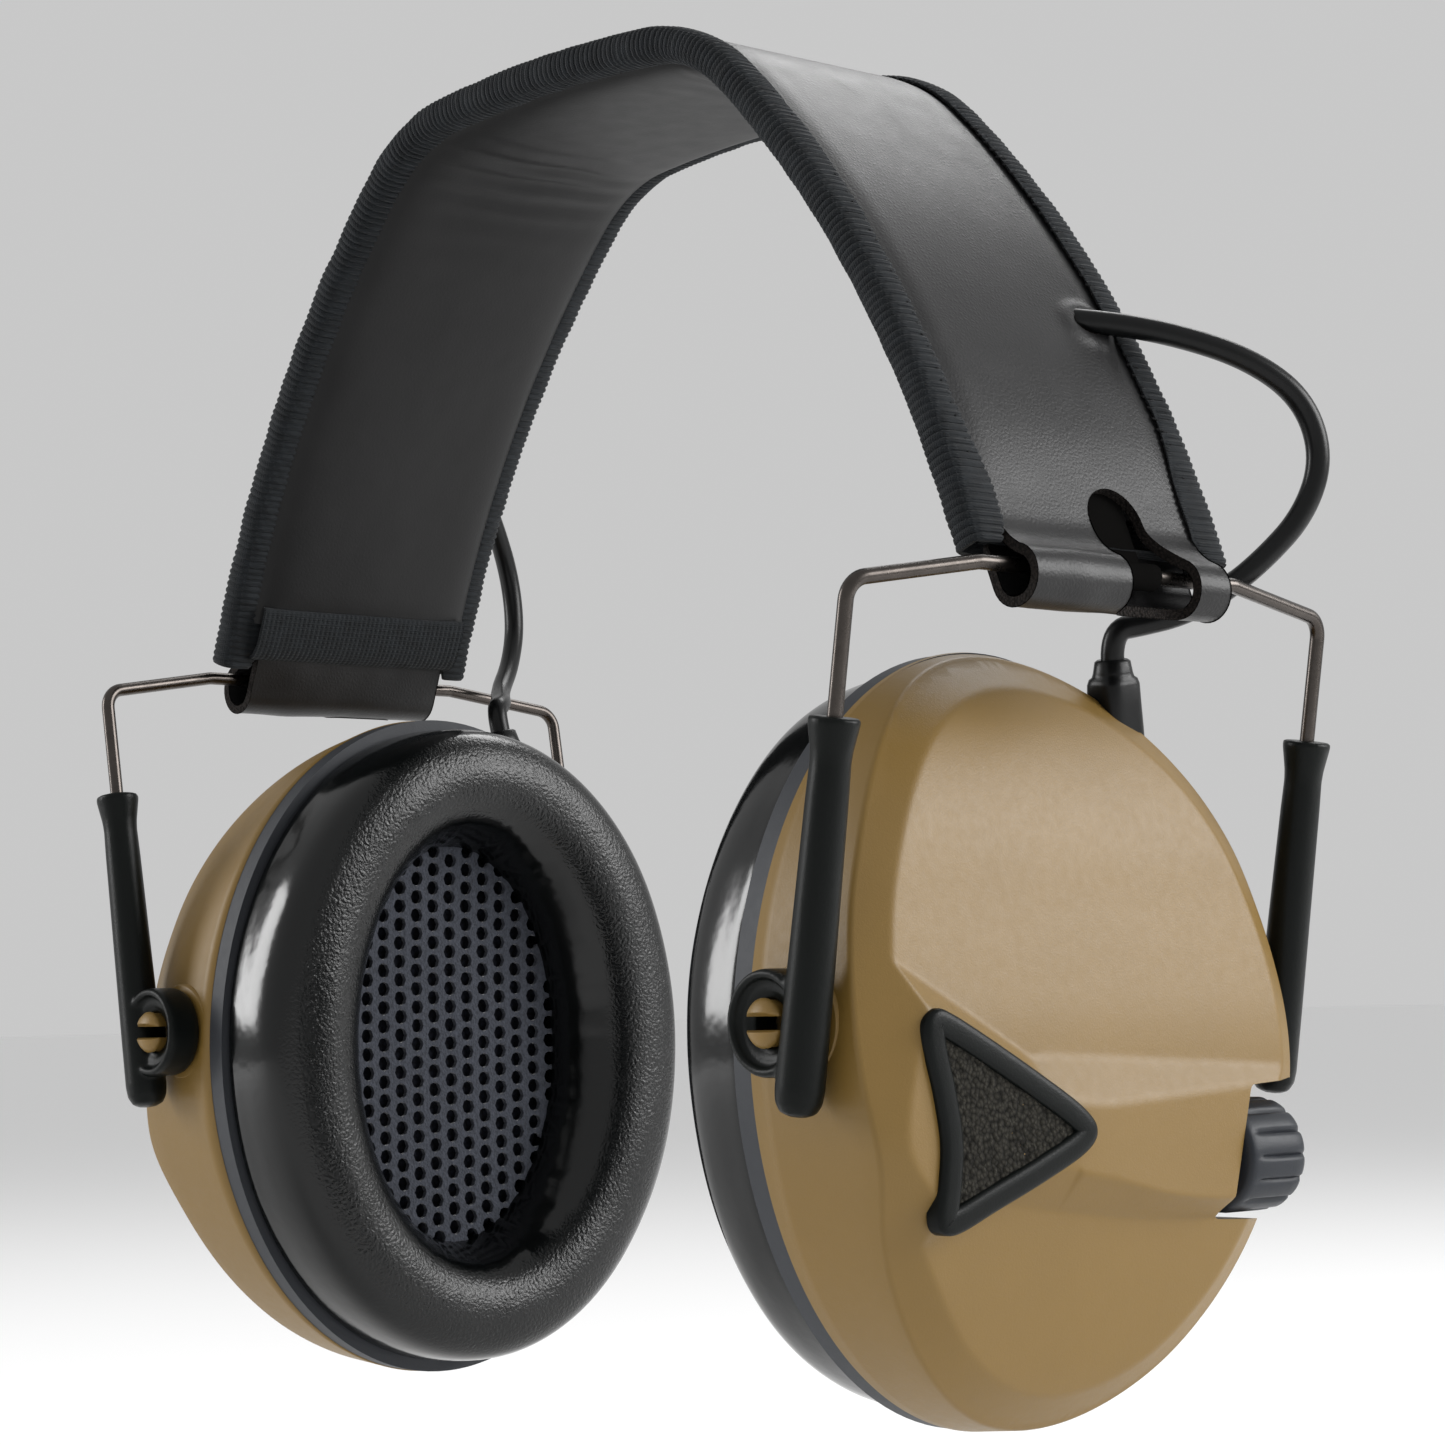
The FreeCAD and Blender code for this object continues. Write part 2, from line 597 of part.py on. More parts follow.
def speaker():
    magnet = cylinder(7.5, (58.0, 0, CUP_Z), (62.0, 0, CUP_Z))
    return joined(cylinder(SPEAKER_R, (57.8, 0, CUP_Z), (60.2, 0, CUP_Z)), magnet)


def damping_foam():
    pad = ellipse_prism(25.0, 34.0, (62.3, 64.6))
    return pad.cut(box((60, 70), (-40, 40), (CUP_Z - 60, CUP_Z - 14)))


def mic_frame():
    """The black three-cornered bezel around a microphone's windscreen."""
    outline = shrunk(MIC_OUTLINE, 0.97)
    rim = polygon_prism(outline, (MIC_FLOOR + 0.1, RIDGE_X + BAR_RISE + MIC_PROUD))
    return rim.cut(polygon_prism(shrunk(MIC_OUTLINE, 0.74), (MIC_FLOOR + 1.1, 95)))


def mic_foam():
    return polygon_prism(shrunk(MIC_OUTLINE, 0.72), (MIC_FLOOR + 1.2, RIDGE_X + BAR_RISE + 0.1))


def mic_capsule():
    return cylinder(3.0, (71.6, -23.0, CUP_Z - 10.0), (74.6, -23.0, CUP_Z - 10.0))


def circuit_board():
    z = (CUP_Z - 12.0, CUP_Z + 26.0)
    return box((66.2, 67.6), (-24.0, 16.0), z)


def volume_knob():
    z = CUP_Z + KNOB_DROP
    barrel = cylinder(KNOB_R, (KNOB_X, KNOB_FROM_Y, z), (KNOB_X, KNOB_TO_Y, z))
    rim = [e for e in barrel.Edges if abs(e.CenterOfMass.y - KNOB_TO_Y) < 0.01]
    barrel = barrel.makeFillet(0.8, rim)
    flutes = []
    for i in range(KNOB_FLUTES):
        a = 2 * math.pi * i / KNOB_FLUTES
        x = KNOB_X + (KNOB_R + 0.5) * math.cos(a)
        flutes.append(cylinder(1.0, (x, KNOB_FROM_Y + 1.5, z + (KNOB_R + 0.5) * math.sin(a)),
                               (x, KNOB_TO_Y + 1, z + (KNOB_R + 0.5) * math.sin(a))))
    for flute in flutes:
        barrel = barrel.cut(flute)
    bore = cylinder(SHAFT_R + 0.02, (KNOB_X, KNOB_FROM_Y - 1, z), (KNOB_X, KNOB_TO_Y - 3, z))
    return barrel.cut(bore)


def volume_shaft():
    z = CUP_Z + KNOB_DROP
    return cylinder(SHAFT_R, (KNOB_X, SHAFT_FROM_Y, z), (KNOB_X, KNOB_TO_Y - 3.2, z))


def volume_pot():
    z = CUP_Z + KNOB_DROP
    x, y, half = POT
    return box(x, y, (z - half, z + half))


def battery_tray():
    """The open tray that holds the two cells."""
    half = CELL_LENGTH / 2
    low, high = CUP_Z + CELLS[1][1] - CELL_R - 0.6, CUP_Z + CELLS[0][1] + CELL_R + 0.6
    tray = box((60.2, 66.0), (-half - 1.2, half + 1.2), (low, high))
    clear = CUP_WALL + 0.2
    tray = tray.common(ellipse_prism(CUP_HALF_Y - clear, CUP_HALF_Z - clear, (60, 90)))
    for x, z in CELLS:
        room = cylinder(CELL_R + 0.15, (x, -half - 0.2, CUP_Z + z), (x, half + 0.2, CUP_Z + z))
        tray = tray.cut(room)
    return tray


def battery_cells():
    half = CELL_LENGTH / 2
    cells = []
    for x, z in CELLS:
        can = cylinder(CELL_R, (x, -half, CUP_Z + z), (x, half - 1.0, CUP_Z + z))
        nub = cylinder(1.9, (x, half - 1.5, CUP_Z + z), (x, half, CUP_Z + z))
        cells.append(can.fuse(nub).removeSplitter())
    return Part.makeCompound(cells)


# ---- build every node --------------------------------------------------------------------
os.makedirs("parts", exist_ok=True)

lead_half = travel(CROWN, 0.0, ARCH, LEAD_DEPTH)[0]
mirror_half = [mirrored(edge) for edge in lead_half]
LEAD_PATH = Part.Wire(Part.__sortEdges__(mirror_half + lead_half))
LEAD_PATH.translate(V(0, LEAD_Y, 0))

save("headband_cover", headband_cover())
save("headband_spring", headband_spring())
save("headband_foam", headband_foam())
save("headband_lining", headband_lining())
save("band_lead", band_lead())
save("rear_binding", rear_binding())
save("front_binding", front(rear_binding()))
save_pair("end_strip", left_end_strip())
save_pair("bail_wire", bail_wire())
save_pair("rear_arm", rear_arm())
save_pair("front_arm", front(rear_arm()))
boot = relief()
save("left_shell", cup_shell(True).cut(boot))
save("right_shell", mirrored(battery_shell().cut(boot)))
save_pair("base_plate", base_plate())
save_pair("cushion", ear_cushion())
save_pair("mesh_liner", mesh_liner())
save_pair("ear_foam", ear_foam())
save_pair("speaker", speaker())
save_pair("damping_foam", damping_foam())
save_pair("mic_frame", mic_frame())
save_pair("mic_foam", mic_foam())
save_pair("mic_capsule", mic_capsule())
save_pair("strain_relief", boot)
save("circuit_board", circuit_board())
save("volume_knob", volume_knob())
save("volume_shaft", volume_shaft())
save("volume_pot", volume_pot())
save("battery_tray", mirrored(battery_tray()))
save("battery_cells", mirrored(battery_cells()))
save("battery_door", mirrored(battery_door()))
save("battery_door_pin", mirrored(door_hinge(DOOR_PIN_R, DOOR_HALF_Y + 2.0)))
save("left_cable", tube(rounded_route(LEFT_ROUTE, label="left cable"), CABLE_R))
save("right_cable", mirrored(tube(rounded_route(RIGHT_ROUTE, label="right cable"), CABLE_R)))
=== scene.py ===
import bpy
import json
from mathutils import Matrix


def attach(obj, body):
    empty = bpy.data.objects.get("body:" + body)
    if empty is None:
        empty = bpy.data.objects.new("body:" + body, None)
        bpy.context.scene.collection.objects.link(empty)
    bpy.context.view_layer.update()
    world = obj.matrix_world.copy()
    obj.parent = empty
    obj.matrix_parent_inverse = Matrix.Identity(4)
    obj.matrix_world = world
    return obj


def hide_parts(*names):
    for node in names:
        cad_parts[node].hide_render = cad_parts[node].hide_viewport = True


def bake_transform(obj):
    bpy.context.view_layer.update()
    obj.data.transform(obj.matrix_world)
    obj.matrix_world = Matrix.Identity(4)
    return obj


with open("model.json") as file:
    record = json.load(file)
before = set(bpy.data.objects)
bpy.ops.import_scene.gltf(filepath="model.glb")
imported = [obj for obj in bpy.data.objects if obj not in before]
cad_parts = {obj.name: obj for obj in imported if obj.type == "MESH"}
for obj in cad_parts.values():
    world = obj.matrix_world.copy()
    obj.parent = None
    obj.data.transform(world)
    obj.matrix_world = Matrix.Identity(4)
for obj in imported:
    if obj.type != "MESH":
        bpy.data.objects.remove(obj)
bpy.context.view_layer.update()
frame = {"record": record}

import json
import math
import random

import bmesh
import bpy
import numpy as np
from mathutils import Matrix, Vector, noise
from mathutils.geometry import delaunay_2d_cdt

# Shapes are worked out in millimetres in the CAD's frame and written to the meshes in metres.
MM = 0.001
LEFT, RIGHT = 1, -1


# ---- camera and lights ---------------------------------------------------------------------
CAMERA_PLACE = (0.36936, -0.31728, -0.1246)
CAMERA_ANGLES = (48.54, -4.59, -1.24)
CAMERA_LENS = 86.68
MIDDLE = (0, 0, -0.1)


def camera():
    """The photo's camera, from the turn, rise and roll that it was taken at."""
    turn, rise, roll = (math.radians(degrees) for degrees in CAMERA_ANGLES)
    ahead = Vector((-math.sin(turn) * math.cos(rise), math.cos(turn) * math.cos(rise), -math.sin(rise)))
    side = ahead.cross(Vector((0, 0, 1))).normalized()
    above = side.cross(ahead)
    right = side * math.cos(roll) + above * math.sin(roll)
    up = above * math.cos(roll) - side * math.sin(roll)
    data = bpy.data.cameras.new("camera")
    data.sensor_width = 36
    data.lens = CAMERA_LENS
    data.clip_start, data.clip_end = 0.01, 50
    cam = bpy.data.objects.new("camera", data)
    facing = Matrix((right, up, -ahead)).transposed().to_4x4()
    cam.matrix_world = Matrix.Translation(CAMERA_PLACE) @ facing
    bpy.context.scene.collection.objects.link(cam)
    bpy.context.scene.camera = cam


def area_light(name, place, size, power):
    """A white softbox aimed at the middle of the object."""
    data = bpy.data.lights.new(name, "AREA")
    data.shape, data.size, data.size_y = "RECTANGLE", size[0], size[1]
    data.energy = power
    lamp = bpy.data.objects.new(name, data)
    lamp.location = place
    lamp.rotation_euler = (Vector(MIDDLE) - Vector(place)).to_track_quat("-Z", "Y").to_euler()
    bpy.context.scene.collection.objects.link(lamp)


camera()
world = bpy.data.worlds.new("studio")
world.use_nodes = True
world.node_tree.nodes["Background"].inputs["Color"].default_value = (1, 1, 1, 1)
world.node_tree.nodes["Background"].inputs["Strength"].default_value = 0.58
bpy.context.scene.world = world
bpy.context.scene.view_settings.view_transform = "Standard"
area_light("right", (0.68, 0.66, 0.27), (0.62, 0.46), 8.6)
area_light("top", (-0.30, 0.72, 0.80), (0.5, 0.35), 2.9)
area_light("front_left", (-0.83, -0.72, 0.22), (0.26, 0.6), 5.5)


# ---- materials -----------------------------------------------------------------------------
class Surface:
    """A Principled material with a few short calls for its nodes."""

    def __init__(self, name, colour, rough, metal=0.0, coat=0.0, coat_rough=0.1, sheen=0.0, level=0.5):
        self.material = bpy.data.materials.new(name)
        self.material.use_nodes = True
        self.tree = self.material.node_tree
        self.shader = self.tree.nodes["Principled BSDF"]
        for socket, value in (("Base Color", (*colour, 1)), ("Roughness", rough), ("Metallic", metal),
                              ("Coat Weight", coat), ("Coat Roughness", coat_rough),
                              ("Sheen Weight", sheen), ("Sheen Roughness", 0.4), ("Specular IOR Level", level)):
            self.shader.inputs[socket].default_value = value
        self.place = self.add("ShaderNodeTexCoord").outputs["Object"]
        self.normal = None

    def add(self, kind, **settings):
        node = self.tree.nodes.new(kind)
        for key, value in settings.items():
            setattr(node, key, value)
        return node

    def link(self, a, b):
        self.tree.links.new(a, b)

    def texture(self, kind, values, **settings):
        """A texture node over the object's own coordinates."""
        node = self.add(kind, **settings)
        for socket, value in values.items():
            node.inputs[socket].default_value = value
        self.link(self.place, node.inputs["Vector"])
        return node.outputs

    def noise(self, scale, detail=3, rough=0.6):
        return self.texture("ShaderNodeTexNoise", {"Scale": scale, "Detail": detail, "Roughness": rough})["Fac"]

    def cells(self, scale, feature="F1"):
        return self.texture("ShaderNodeTexVoronoi", {"Scale": scale}, feature=feature)["Distance"]

    def waves(self, scale, direction, distortion):
        return self.texture("ShaderNodeTexWave", {"Scale": scale, "Distortion": distortion},
                            bands_direction=direction)["Fac"]

    def math(self, operation, a, b):
        node = self.add("ShaderNodeMath", operation=operation)
        for socket, value in zip(node.inputs, (a, b)):
            if isinstance(value, (int, float)):
                socket.default_value = value
            else:
                self.link(value, socket)
        return node.outputs[0]

    def span(self, value, low, high, to_low, to_high):
        node = self.add("ShaderNodeMapRange")
        for key, number in zip(("From Min", "From Max", "To Min", "To Max"), (low, high, to_low, to_high)):
            node.inputs[key].default_value = number
        self.link(value, node.inputs["Value"])
        return node.outputs["Result"]

    def paint(self, value, low, high, to_low, to_high):
        """Colour between two, by a value."""
        node = self.add("ShaderNodeValToRGB")
        for stop, position, colour in zip(node.color_ramp.elements, (low, high), (to_low, to_high)):
            stop.position, stop.color = position, (*colour, 1)
        self.link(value, node.inputs["Fac"])
        self.link(node.outputs["Color"], self.shader.inputs["Base Color"])

    def roughen(self, value, low, high, to_low, to_high):
        self.link(self.span(value, low, high, to_low, to_high), self.shader.inputs["Roughness"])

    def bump(self, height, depth_mm, strength):
        node = self.add("ShaderNodeBump")
        node.inputs["Distance"].default_value = depth_mm * MM
        node.inputs["Strength"].default_value = strength
        self.link(height, node.inputs["Height"])
        if self.normal is not None:
            self.link(self.normal, node.inputs["Normal"])
        self.normal = node.outputs["Normal"]
        self.link(self.normal, self.shader.inputs["Normal"])


def shade(colour, times):
    return tuple(min(1.0, c * times) for c in colour)


def leather_surface(name, colour, rough, grain, level):
    s = Surface(name, colour, rough, level=level)
    s.paint(s.noise(60, 4), 0.3, 0.75, shade(colour, 0.82), shade(colour, 1.22))
    s.roughen(s.noise(240, 4), 0.3, 0.7, rough - 0.02, rough + 0.03)
    s.bump(s.noise(55, 3), 0.05, 0.3)
    s.bump(s.cells(1500, "DISTANCE_TO_EDGE"), grain, 0.55)
    s.bump(s.noise(5200, 2), grain * 0.5, 0.5)
    return s.material


def moulded_surface(name, colour, rough, texture, spread=0.07, level=0.5):
    s = Surface(name, colour, rough, level=level)
    s.paint(s.noise(45, 4), 0.3, 0.7, shade(colour, 1 - spread), shade(colour, 1 + spread))
    s.roughen(s.noise(700, 3), 0.3, 0.7, rough - 0.02, rough + 0.03)
    s.bump(s.noise(3600, 3, 0.7), texture, 0.6)
    s.bump(s.noise(30, 2), 0.05, 0.2)
    return s.material


def metal_surface(name, colour, rough):
    s = Surface(name, colour, rough, metal=1.0)
    s.paint(s.noise(400, 4), 0.3, 0.7, shade(colour, 0.88), shade(colour, 1.12))
    s.roughen(s.noise(900, 3), 0.3, 0.7, rough - 0.04, rough + 0.05)
    s.bump(s.noise(2600, 2), 0.01, 0.5)
    return s.material


def foam_surface(name, colour, pore):
    s = Surface(name, colour, 0.95, level=0.2)
    holes = s.cells(pore)
    # painted shade: the colour follows the bump's cell field, darker down in the hollows between the raised cells and
    # lighter on their tops
    s.paint(holes, 0.05, 0.75, shade(colour, 1.5), shade(colour, 0.35))
    s.bump(holes, -0.35, 0.9)
    s.bump(s.noise(pore * 2, 3), 0.1, 0.6)
    return s.material


def woven_surface(name, colour, thread):
    s = Surface(name, colour, 0.82, sheen=0.05, level=0.3)
    s.paint(s.noise(500, 4), 0.3, 0.75, shade(colour, 0.7), shade(colour, 1.5))
    s.bump(s.math("MULTIPLY", s.waves(thread, "X", 1.0), s.waves(thread, "Z", 1.0)), 0.12, 0.8)
    s.bump(s.noise(4000, 2), 0.06, 0.6)
    return s.material


def vinyl_surface(name):
    """Gloss vinyl, grained on the crown and smooth down the sides."""
    colour = (0.0013, 0.0017, 0.0018)
    side_x, crown_x = 0.0448, 0.0425
    s = Surface(name, colour, 0.22, level=0.40)
    split = s.add("ShaderNodeSeparateXYZ")
    s.link(s.place, split.inputs[0])
    out = s.math("ABSOLUTE", split.outputs["X"], 0)
    crown = s.span(out, side_x, crown_x, 0.0, 1.0)
    s.paint(s.noise(90, 3), 0.3, 0.7, shade(colour, 0.85), shade(colour, 1.25))
    s.roughen(s.math("ADD", crown, s.math("MULTIPLY", s.noise(300, 3), 0.35)), 0.1, 1.3, 0.13, 0.29)
    grain = s.math("MULTIPLY", crown, s.math("ADD", s.cells(1150, "DISTANCE_TO_EDGE"), s.noise(2600, 2)))
    s.bump(s.noise(120, 3), 0.25, 0.35)
    s.bump(grain, 0.11, 0.9)
    return s.material


def cloth_surface(name, colour):
    s = Surface(name, colour, 0.85, sheen=0.3, level=0.3)
    s.paint(s.noise(1600, 3), 0.3, 0.7, shade(colour, 0.72), shade(colour, 1.35))
    s.bump(s.cells(2300), 0.12, 0.9)
    s.bump(s.noise(5000, 2), 0.05, 0.6)
    return s.material


def board_surface():
    colour = (0.012, 0.07, 0.03)
    s = Surface("board_green", colour, 0.35, coat=0.3)
    s.paint(s.cells(420), 0.2, 0.6, shade(colour, 1.6), colour)
    s.bump(s.cells(420), 0.1, 0.6)
    return s.material


TAN = (0.205, 0.122, 0.027)
MATERIALS = {
    "leather": leather_surface("leather", (0.0115, 0.0114, 0.0118), 0.38, 0.07, 0.26),
    "lining": leather_surface("lining_leather", (0.0095, 0.0095, 0.0098), 0.46, 0.03, 0.22),
    "leather_edge": foam_surface("leather_cut_edge", (0.014, 0.011, 0.0095), 2500),
    "binding_tape": woven_surface("binding_weave", (0.0078, 0.0098, 0.0118), 950),
    "thread": woven_surface("thread", (0.006, 0.0065, 0.0075), 3000),
    "padding_foam": foam_surface("padding_foam", (0.12, 0.12, 0.12), 900),
    "spring_steel": moulded_surface("spring_steel", (0.0050, 0.0048, 0.0046), 0.55, 0.02, 0.12, 0.0),
    "bail_wire": metal_surface("bail_steel", (0.075, 0.066, 0.060), 0.28),
    "black_plastic": moulded_surface("black_moulding", (0.0038, 0.0050, 0.0046), 0.34, 0.05, level=0.14),
    "tan_shell": moulded_surface("tan_moulding", TAN, 0.44, 0.05, 0.03, 0.42),
    "grey_plastic": moulded_surface("grey_moulding", (0.034, 0.037, 0.043), 0.55, 0.04, level=0.35),
    "cushion_vinyl": vinyl_surface("cushion_vinyl"),
    "mesh_cloth": cloth_surface("mesh_cloth", (0.036, 0.040, 0.052)),
    "ear_foam": foam_surface("ear_foam", (0.006, 0.007, 0.012), 1100),
    "damping_foam": foam_surface("damping_foam", (0.05, 0.05, 0.05), 900),
    "mic_foam": foam_surface("mic_foam", (0.028, 0.026, 0.021), 1700),
    "knob_plastic": moulded_surface("knob_moulding", (0.020, 0.023, 0.029), 0.42, 0.05, level=0.25),
    "cable_jacket": moulded_surface("cable_rubber", (0.0045, 0.0048, 0.0050), 0.30, 0.02, 0.15, 0.22),
    "board": board_surface(),
    "cell_can": metal_surface("cell_can", (0.30, 0.30, 0.33), 0.25),
    "small_metal": metal_surface("small_metal", (0.50, 0.50, 0.50), 0.3),
}


# ---- making a piece ------------------------------------------------------------------------
def piece(name, points, faces, look, body=None, replaces=(), sharp=35.0, edge_faces=None,
          edge_look=None):
    """A mesh object from points in millimetres. Edges sharper than sharp degrees stay hard."""
    mesh = bpy.data.meshes.new(name)
    mesh.from_pydata([(p[0] * MM, p[1] * MM, p[2] * MM) for p in points], [], faces)
    mesh.materials.append(MATERIALS[look])
    if edge_look:
        mesh.materials.append(MATERIALS[edge_look])
        for i in edge_faces:
            mesh.polygons[i].material_index = 1
    work = bmesh.new()
    work.from_mesh(mesh)
    bmesh.ops.remove_doubles(work, verts=work.verts, dist=2e-6)
    bmesh.ops.dissolve_degenerate(work, dist=1e-6, edges=work.edges)
    loose = [v for v in work.verts if not v.link_faces]
    bmesh.ops.delete(work, geom=loose, context="VERTS")
    bmesh.ops.recalc_face_normals(work, faces=work.faces)
    work.to_mesh(mesh)
    work.free()
    mesh.polygons.foreach_set("use_smooth", [True] * len(mesh.polygons))
    if sharp < 180:
        mesh.set_sharp_from_angle(angle=math.radians(sharp))
    mesh.update()
    obj = bpy.data.objects.new(name, mesh)
    bpy.context.scene.collection.objects.link(obj)
    if body:
        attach(obj, body)
    if replaces:
        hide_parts(*replaces)
    return obj


def cup_piece(side, name, points, faces, look, node, sharp):
    """A piece that rides its side's cup, in the look of its own slot, in place of one node."""
    return piece(side_name(side, name), points, faces, look, side_name(side, "cup"),
                 (side_name(side, node),), sharp)


def grid_faces(rows, cols, close_rows=False, close_cols=False, start=0):
    """Quads over a grid of points stored row by row."""
    faces = []
    for i in range(rows if close_rows else rows - 1):
        for j in range(cols if close_cols else cols - 1):
            here, above = start + i * cols, start + (i + 1) % rows * cols
            beside = (j + 1) % cols
            faces.append((here + j, here + beside, above + beside, above + j))
    return faces


def tube_faces(rings, sides, start=0):
    """Quads over the rings of a tube, and a cap on each end."""
    last = start + (rings - 1) * sides
    caps = [tuple(range(start + sides - 1, start - 1, -1)), tuple(range(last, last + sides))]
    return grid_faces(rings, sides, close_cols=True, start=start) + caps


def circle(centre, side, up, radius, sides):
    """Points evenly round a centre, in the plane of side and up."""
    turns = (2 * math.pi * k / sides for k in range(sides))
    return [centre + (side * math.cos(a) + up * math.sin(a)) * radius for a in turns]


def inside(points, outline):
    """Which of the points lie inside a closed outline."""
    x, y = points[:, 0], points[:, 1]
    hit = np.zeros(len(points), bool)
    a = np.array(outline, float)
    b = np.roll(a, -1, axis=0)
    for (x0, y0), (x1, y1) in zip(a, b):
        if y0 == y1:
            continue
        crosses = (y0 > y) != (y1 > y)
        hit ^= crosses & (x < (x1 - x0) * (y - y0) / (y1 - y0) + x0)
    return hit


def near_outline(points, outline, gap):
    a = np.array(outline, float)
    b = np.roll(a, -1, axis=0)
    near = np.zeros(len(points), bool)
    for p, q in zip(a, b):
        d = q - p
        t = np.clip(((points - p) @ d) / max(d @ d, 1e-12), 0, 1)
        near |= np.linalg.norm(points - p - t[:, None] * d, axis=1) < gap
    return near


def fill(outline, holes=(), inner=(), gap=0.25):
    """Triangles over a flat region with holes. inner are the points wanted within it."""
    inner = np.array(inner, float).reshape(-1, 2)
    if len(inner):
        keep = inside(inner, outline) & ~near_outline(inner, outline, gap)
        for hole in holes:
            keep &= ~inside(inner, hole) & ~near_outline(inner, hole, gap)
        inner = inner[keep]
    points, edges = [], []
    nearest = 1e-5
    for loop in (outline, *holes):
        start = len(points)
        points += [Vector(p) for p in loop]
        edges += [(start + i, start + (i + 1) % len(loop)) for i in range(len(loop))]
    points += [Vector(p) for p in inner]
    made, _, faces = delaunay_2d_cdt(points, edges, [], 0, nearest)[:3]
    flat = np.array([(v.x, v.y) for v in made])
    faces = np.array([f for f in faces if len(f) == 3])
    middle = flat[faces].mean(axis=1)
    keep = inside(middle, outline)
    for hole in holes:
        keep &= ~inside(middle, hole)
    return flat, faces[keep]


def rims(faces):
    """The directed edges that only one triangle has."""
    seen = {}
    for f in faces:
        for i in range(3):
            a, b = int(f[i]), int(f[(i + 1) % 3])
            if (b, a) in seen:
                del seen[(b, a)]
            else:
                seen[(a, b)] = True
    return list(seen)


def slab(flat, faces, top, bottom, between=()):
    """A closed solid from a filled region: its top, its bottom and walls with rings between."""
    layers = [top(flat), *[ring(flat) for ring in between], bottom(flat)]
    n = len(flat)
    points = [tuple(p) for layer in layers for p in layer]
    solid = [tuple(int(i) for i in f) for f in faces]
    last = (len(layers) - 1) * n
    solid += [tuple(int(i) + last for i in reversed(f)) for f in faces]
    walls = []
    for a, b in rims(faces):
        for k in range(len(layers) - 1):
            walls.append((b + k * n, a + k * n, a + (k + 1) * n, b + (k + 1) * n))
    return points, solid + walls, range(len(solid), len(solid) + len(walls))


def hex_grid(low, high, step):
    rows = []
    for k, v in enumerate(np.arange(low[1], high[1] + step, step * 0.866)):
        u = np.arange(low[0], high[0] + step, step) + (step / 2 if k % 2 else 0)
        rows.append(np.stack([u, np.full_like(u, v)], axis=1))
    return np.concatenate(rows)


def round_corners(points, radii, steps=6):
    """A closed outline with its corners rounded."""
    out = []
    n = len(points)
    for i, (p, r) in enumerate(zip(points, radii)):
        p = Vector(p)
        a, b = Vector(points[i - 1]) - p, Vector(points[(i + 1) % n]) - p
        if r <= 0:
            out.append(tuple(p))
            continue
        half = a.angle(b) / 2
        cut = min(r / math.tan(half), a.length * 0.48, b.length * 0.48)
        start, end = p + a.normalized() * cut, p + b.normalized() * cut
        for k in range(steps + 1):
            t = k / steps
            out.append(tuple(start * (1 - t) ** 2 + p * 2 * t * (1 - t) + end * t ** 2))
    return out


def catmull_rom(a, b, c, d, per):
    """Points from b up to c on the Catmull-Rom curve through a, b, c and d."""
    square, cube = 2 * a - 5 * b + 4 * c - d, 3 * b - a - 3 * c + d
    return [0.5 * (2 * b + (c - a) * t + square * t ** 2 + cube * t ** 3) for t in (k / per for k in range(per))]


def smooth_loop(points, per):
    """A closed smooth curve through the points."""
    p = np.array(points, float)
    n = len(p)
    return [tuple(q) for i in range(n) for q in catmull_rom(p[i - 1], p[i], p[(i + 1) % n], p[(i + 2) % n], per)]


def smooth_line(points, per):
    """An open smooth curve through the points."""
    p = np.array(points, float)
    p = np.concatenate([[2 * p[0] - p[1]], p, [2 * p[-1] - p[-2]]])
    return [tuple(q) for i in range(1, len(p) - 2) for q in catmull_rom(*p[i - 1:i + 3], per)] + [tuple(p[-2])]


def ramp(v):
    """0 to 1, easing in and out."""
    v = np.clip(v, 0, 1)
    return v * v * (3 - 2 * v)


def side_name(side, name):
    return ("left_" if side == LEFT else "right_") + name


def mirrored(points, side, sign):
    return [(p[0] * side, p[1] * sign, p[2]) for p in points]


# ---- leads ---------------------------------------------------------------------------------
CABLE_R = 1.55
# lengths from the band, in metres, at which a lead passes to its next stretch
LEAD_SPLITS = (0.032, 0.0635)
LEFT_ROUTE = [(63.6, 11.0, -37.0), (68.2, 15.6, -37.6), (74.2, 23.5, -39.4), (79.6, 31.8, -42.6),
              (82.8, 38.4, -47.6), (83.6, 41.0, -55.2), (81.8, 39.0, -62.8), (78.4, 34.0, -69.0),
              (75.0, 29.5, -73.2), (71.2, 26.3, -75.6), (67.8, 22.8, -76.7), (65.5, 19.0, -77.5),
              (65.0, 19.6, -81.4)]
RIGHT_ROUTE = [(63.6, 11.0, -37.0), (68.2, 15.6, -37.6), (74.2, 22.7, -40.0), (79.4, 30.0, -45.2),
               (81.8, 35.0, -53.5), (81.2, 35.6, -62.0), (78.4, 32.2, -69.0), (74.4, 27.0, -73.6),
               (70.8, 24.2, -75.5), (67.8, 22.2, -76.6), (65.5, 19.0, -77.5), (65.0, 19.6, -81.4)]


def lead_line(route, side):
    """The points down the middle of a lead, in metres, from its NURBS spline."""
    curve = bpy.data.curves.new("lead_route", "CURVE")
    curve.dimensions = "3D"
    spline = curve.splines.new("NURBS")
    spline.points.add(len(route) - 1)
    for point, (x, y, z) in zip(spline.points, route):
        point.co = (x * side * MM, y * MM, z * MM, 1)
    spline.order_u = 3
    spline.use_endpoint_u = True
    spline.resolution_u = 8
    bare = bpy.data.objects.new("lead_route", curve)
    mesh = bpy.data.meshes.new_from_object(bare)
    line = [v.co.copy() for v in mesh.vertices]
    bpy.data.meshes.remove(mesh)
    bpy.data.curves.remove(curve)
    return line


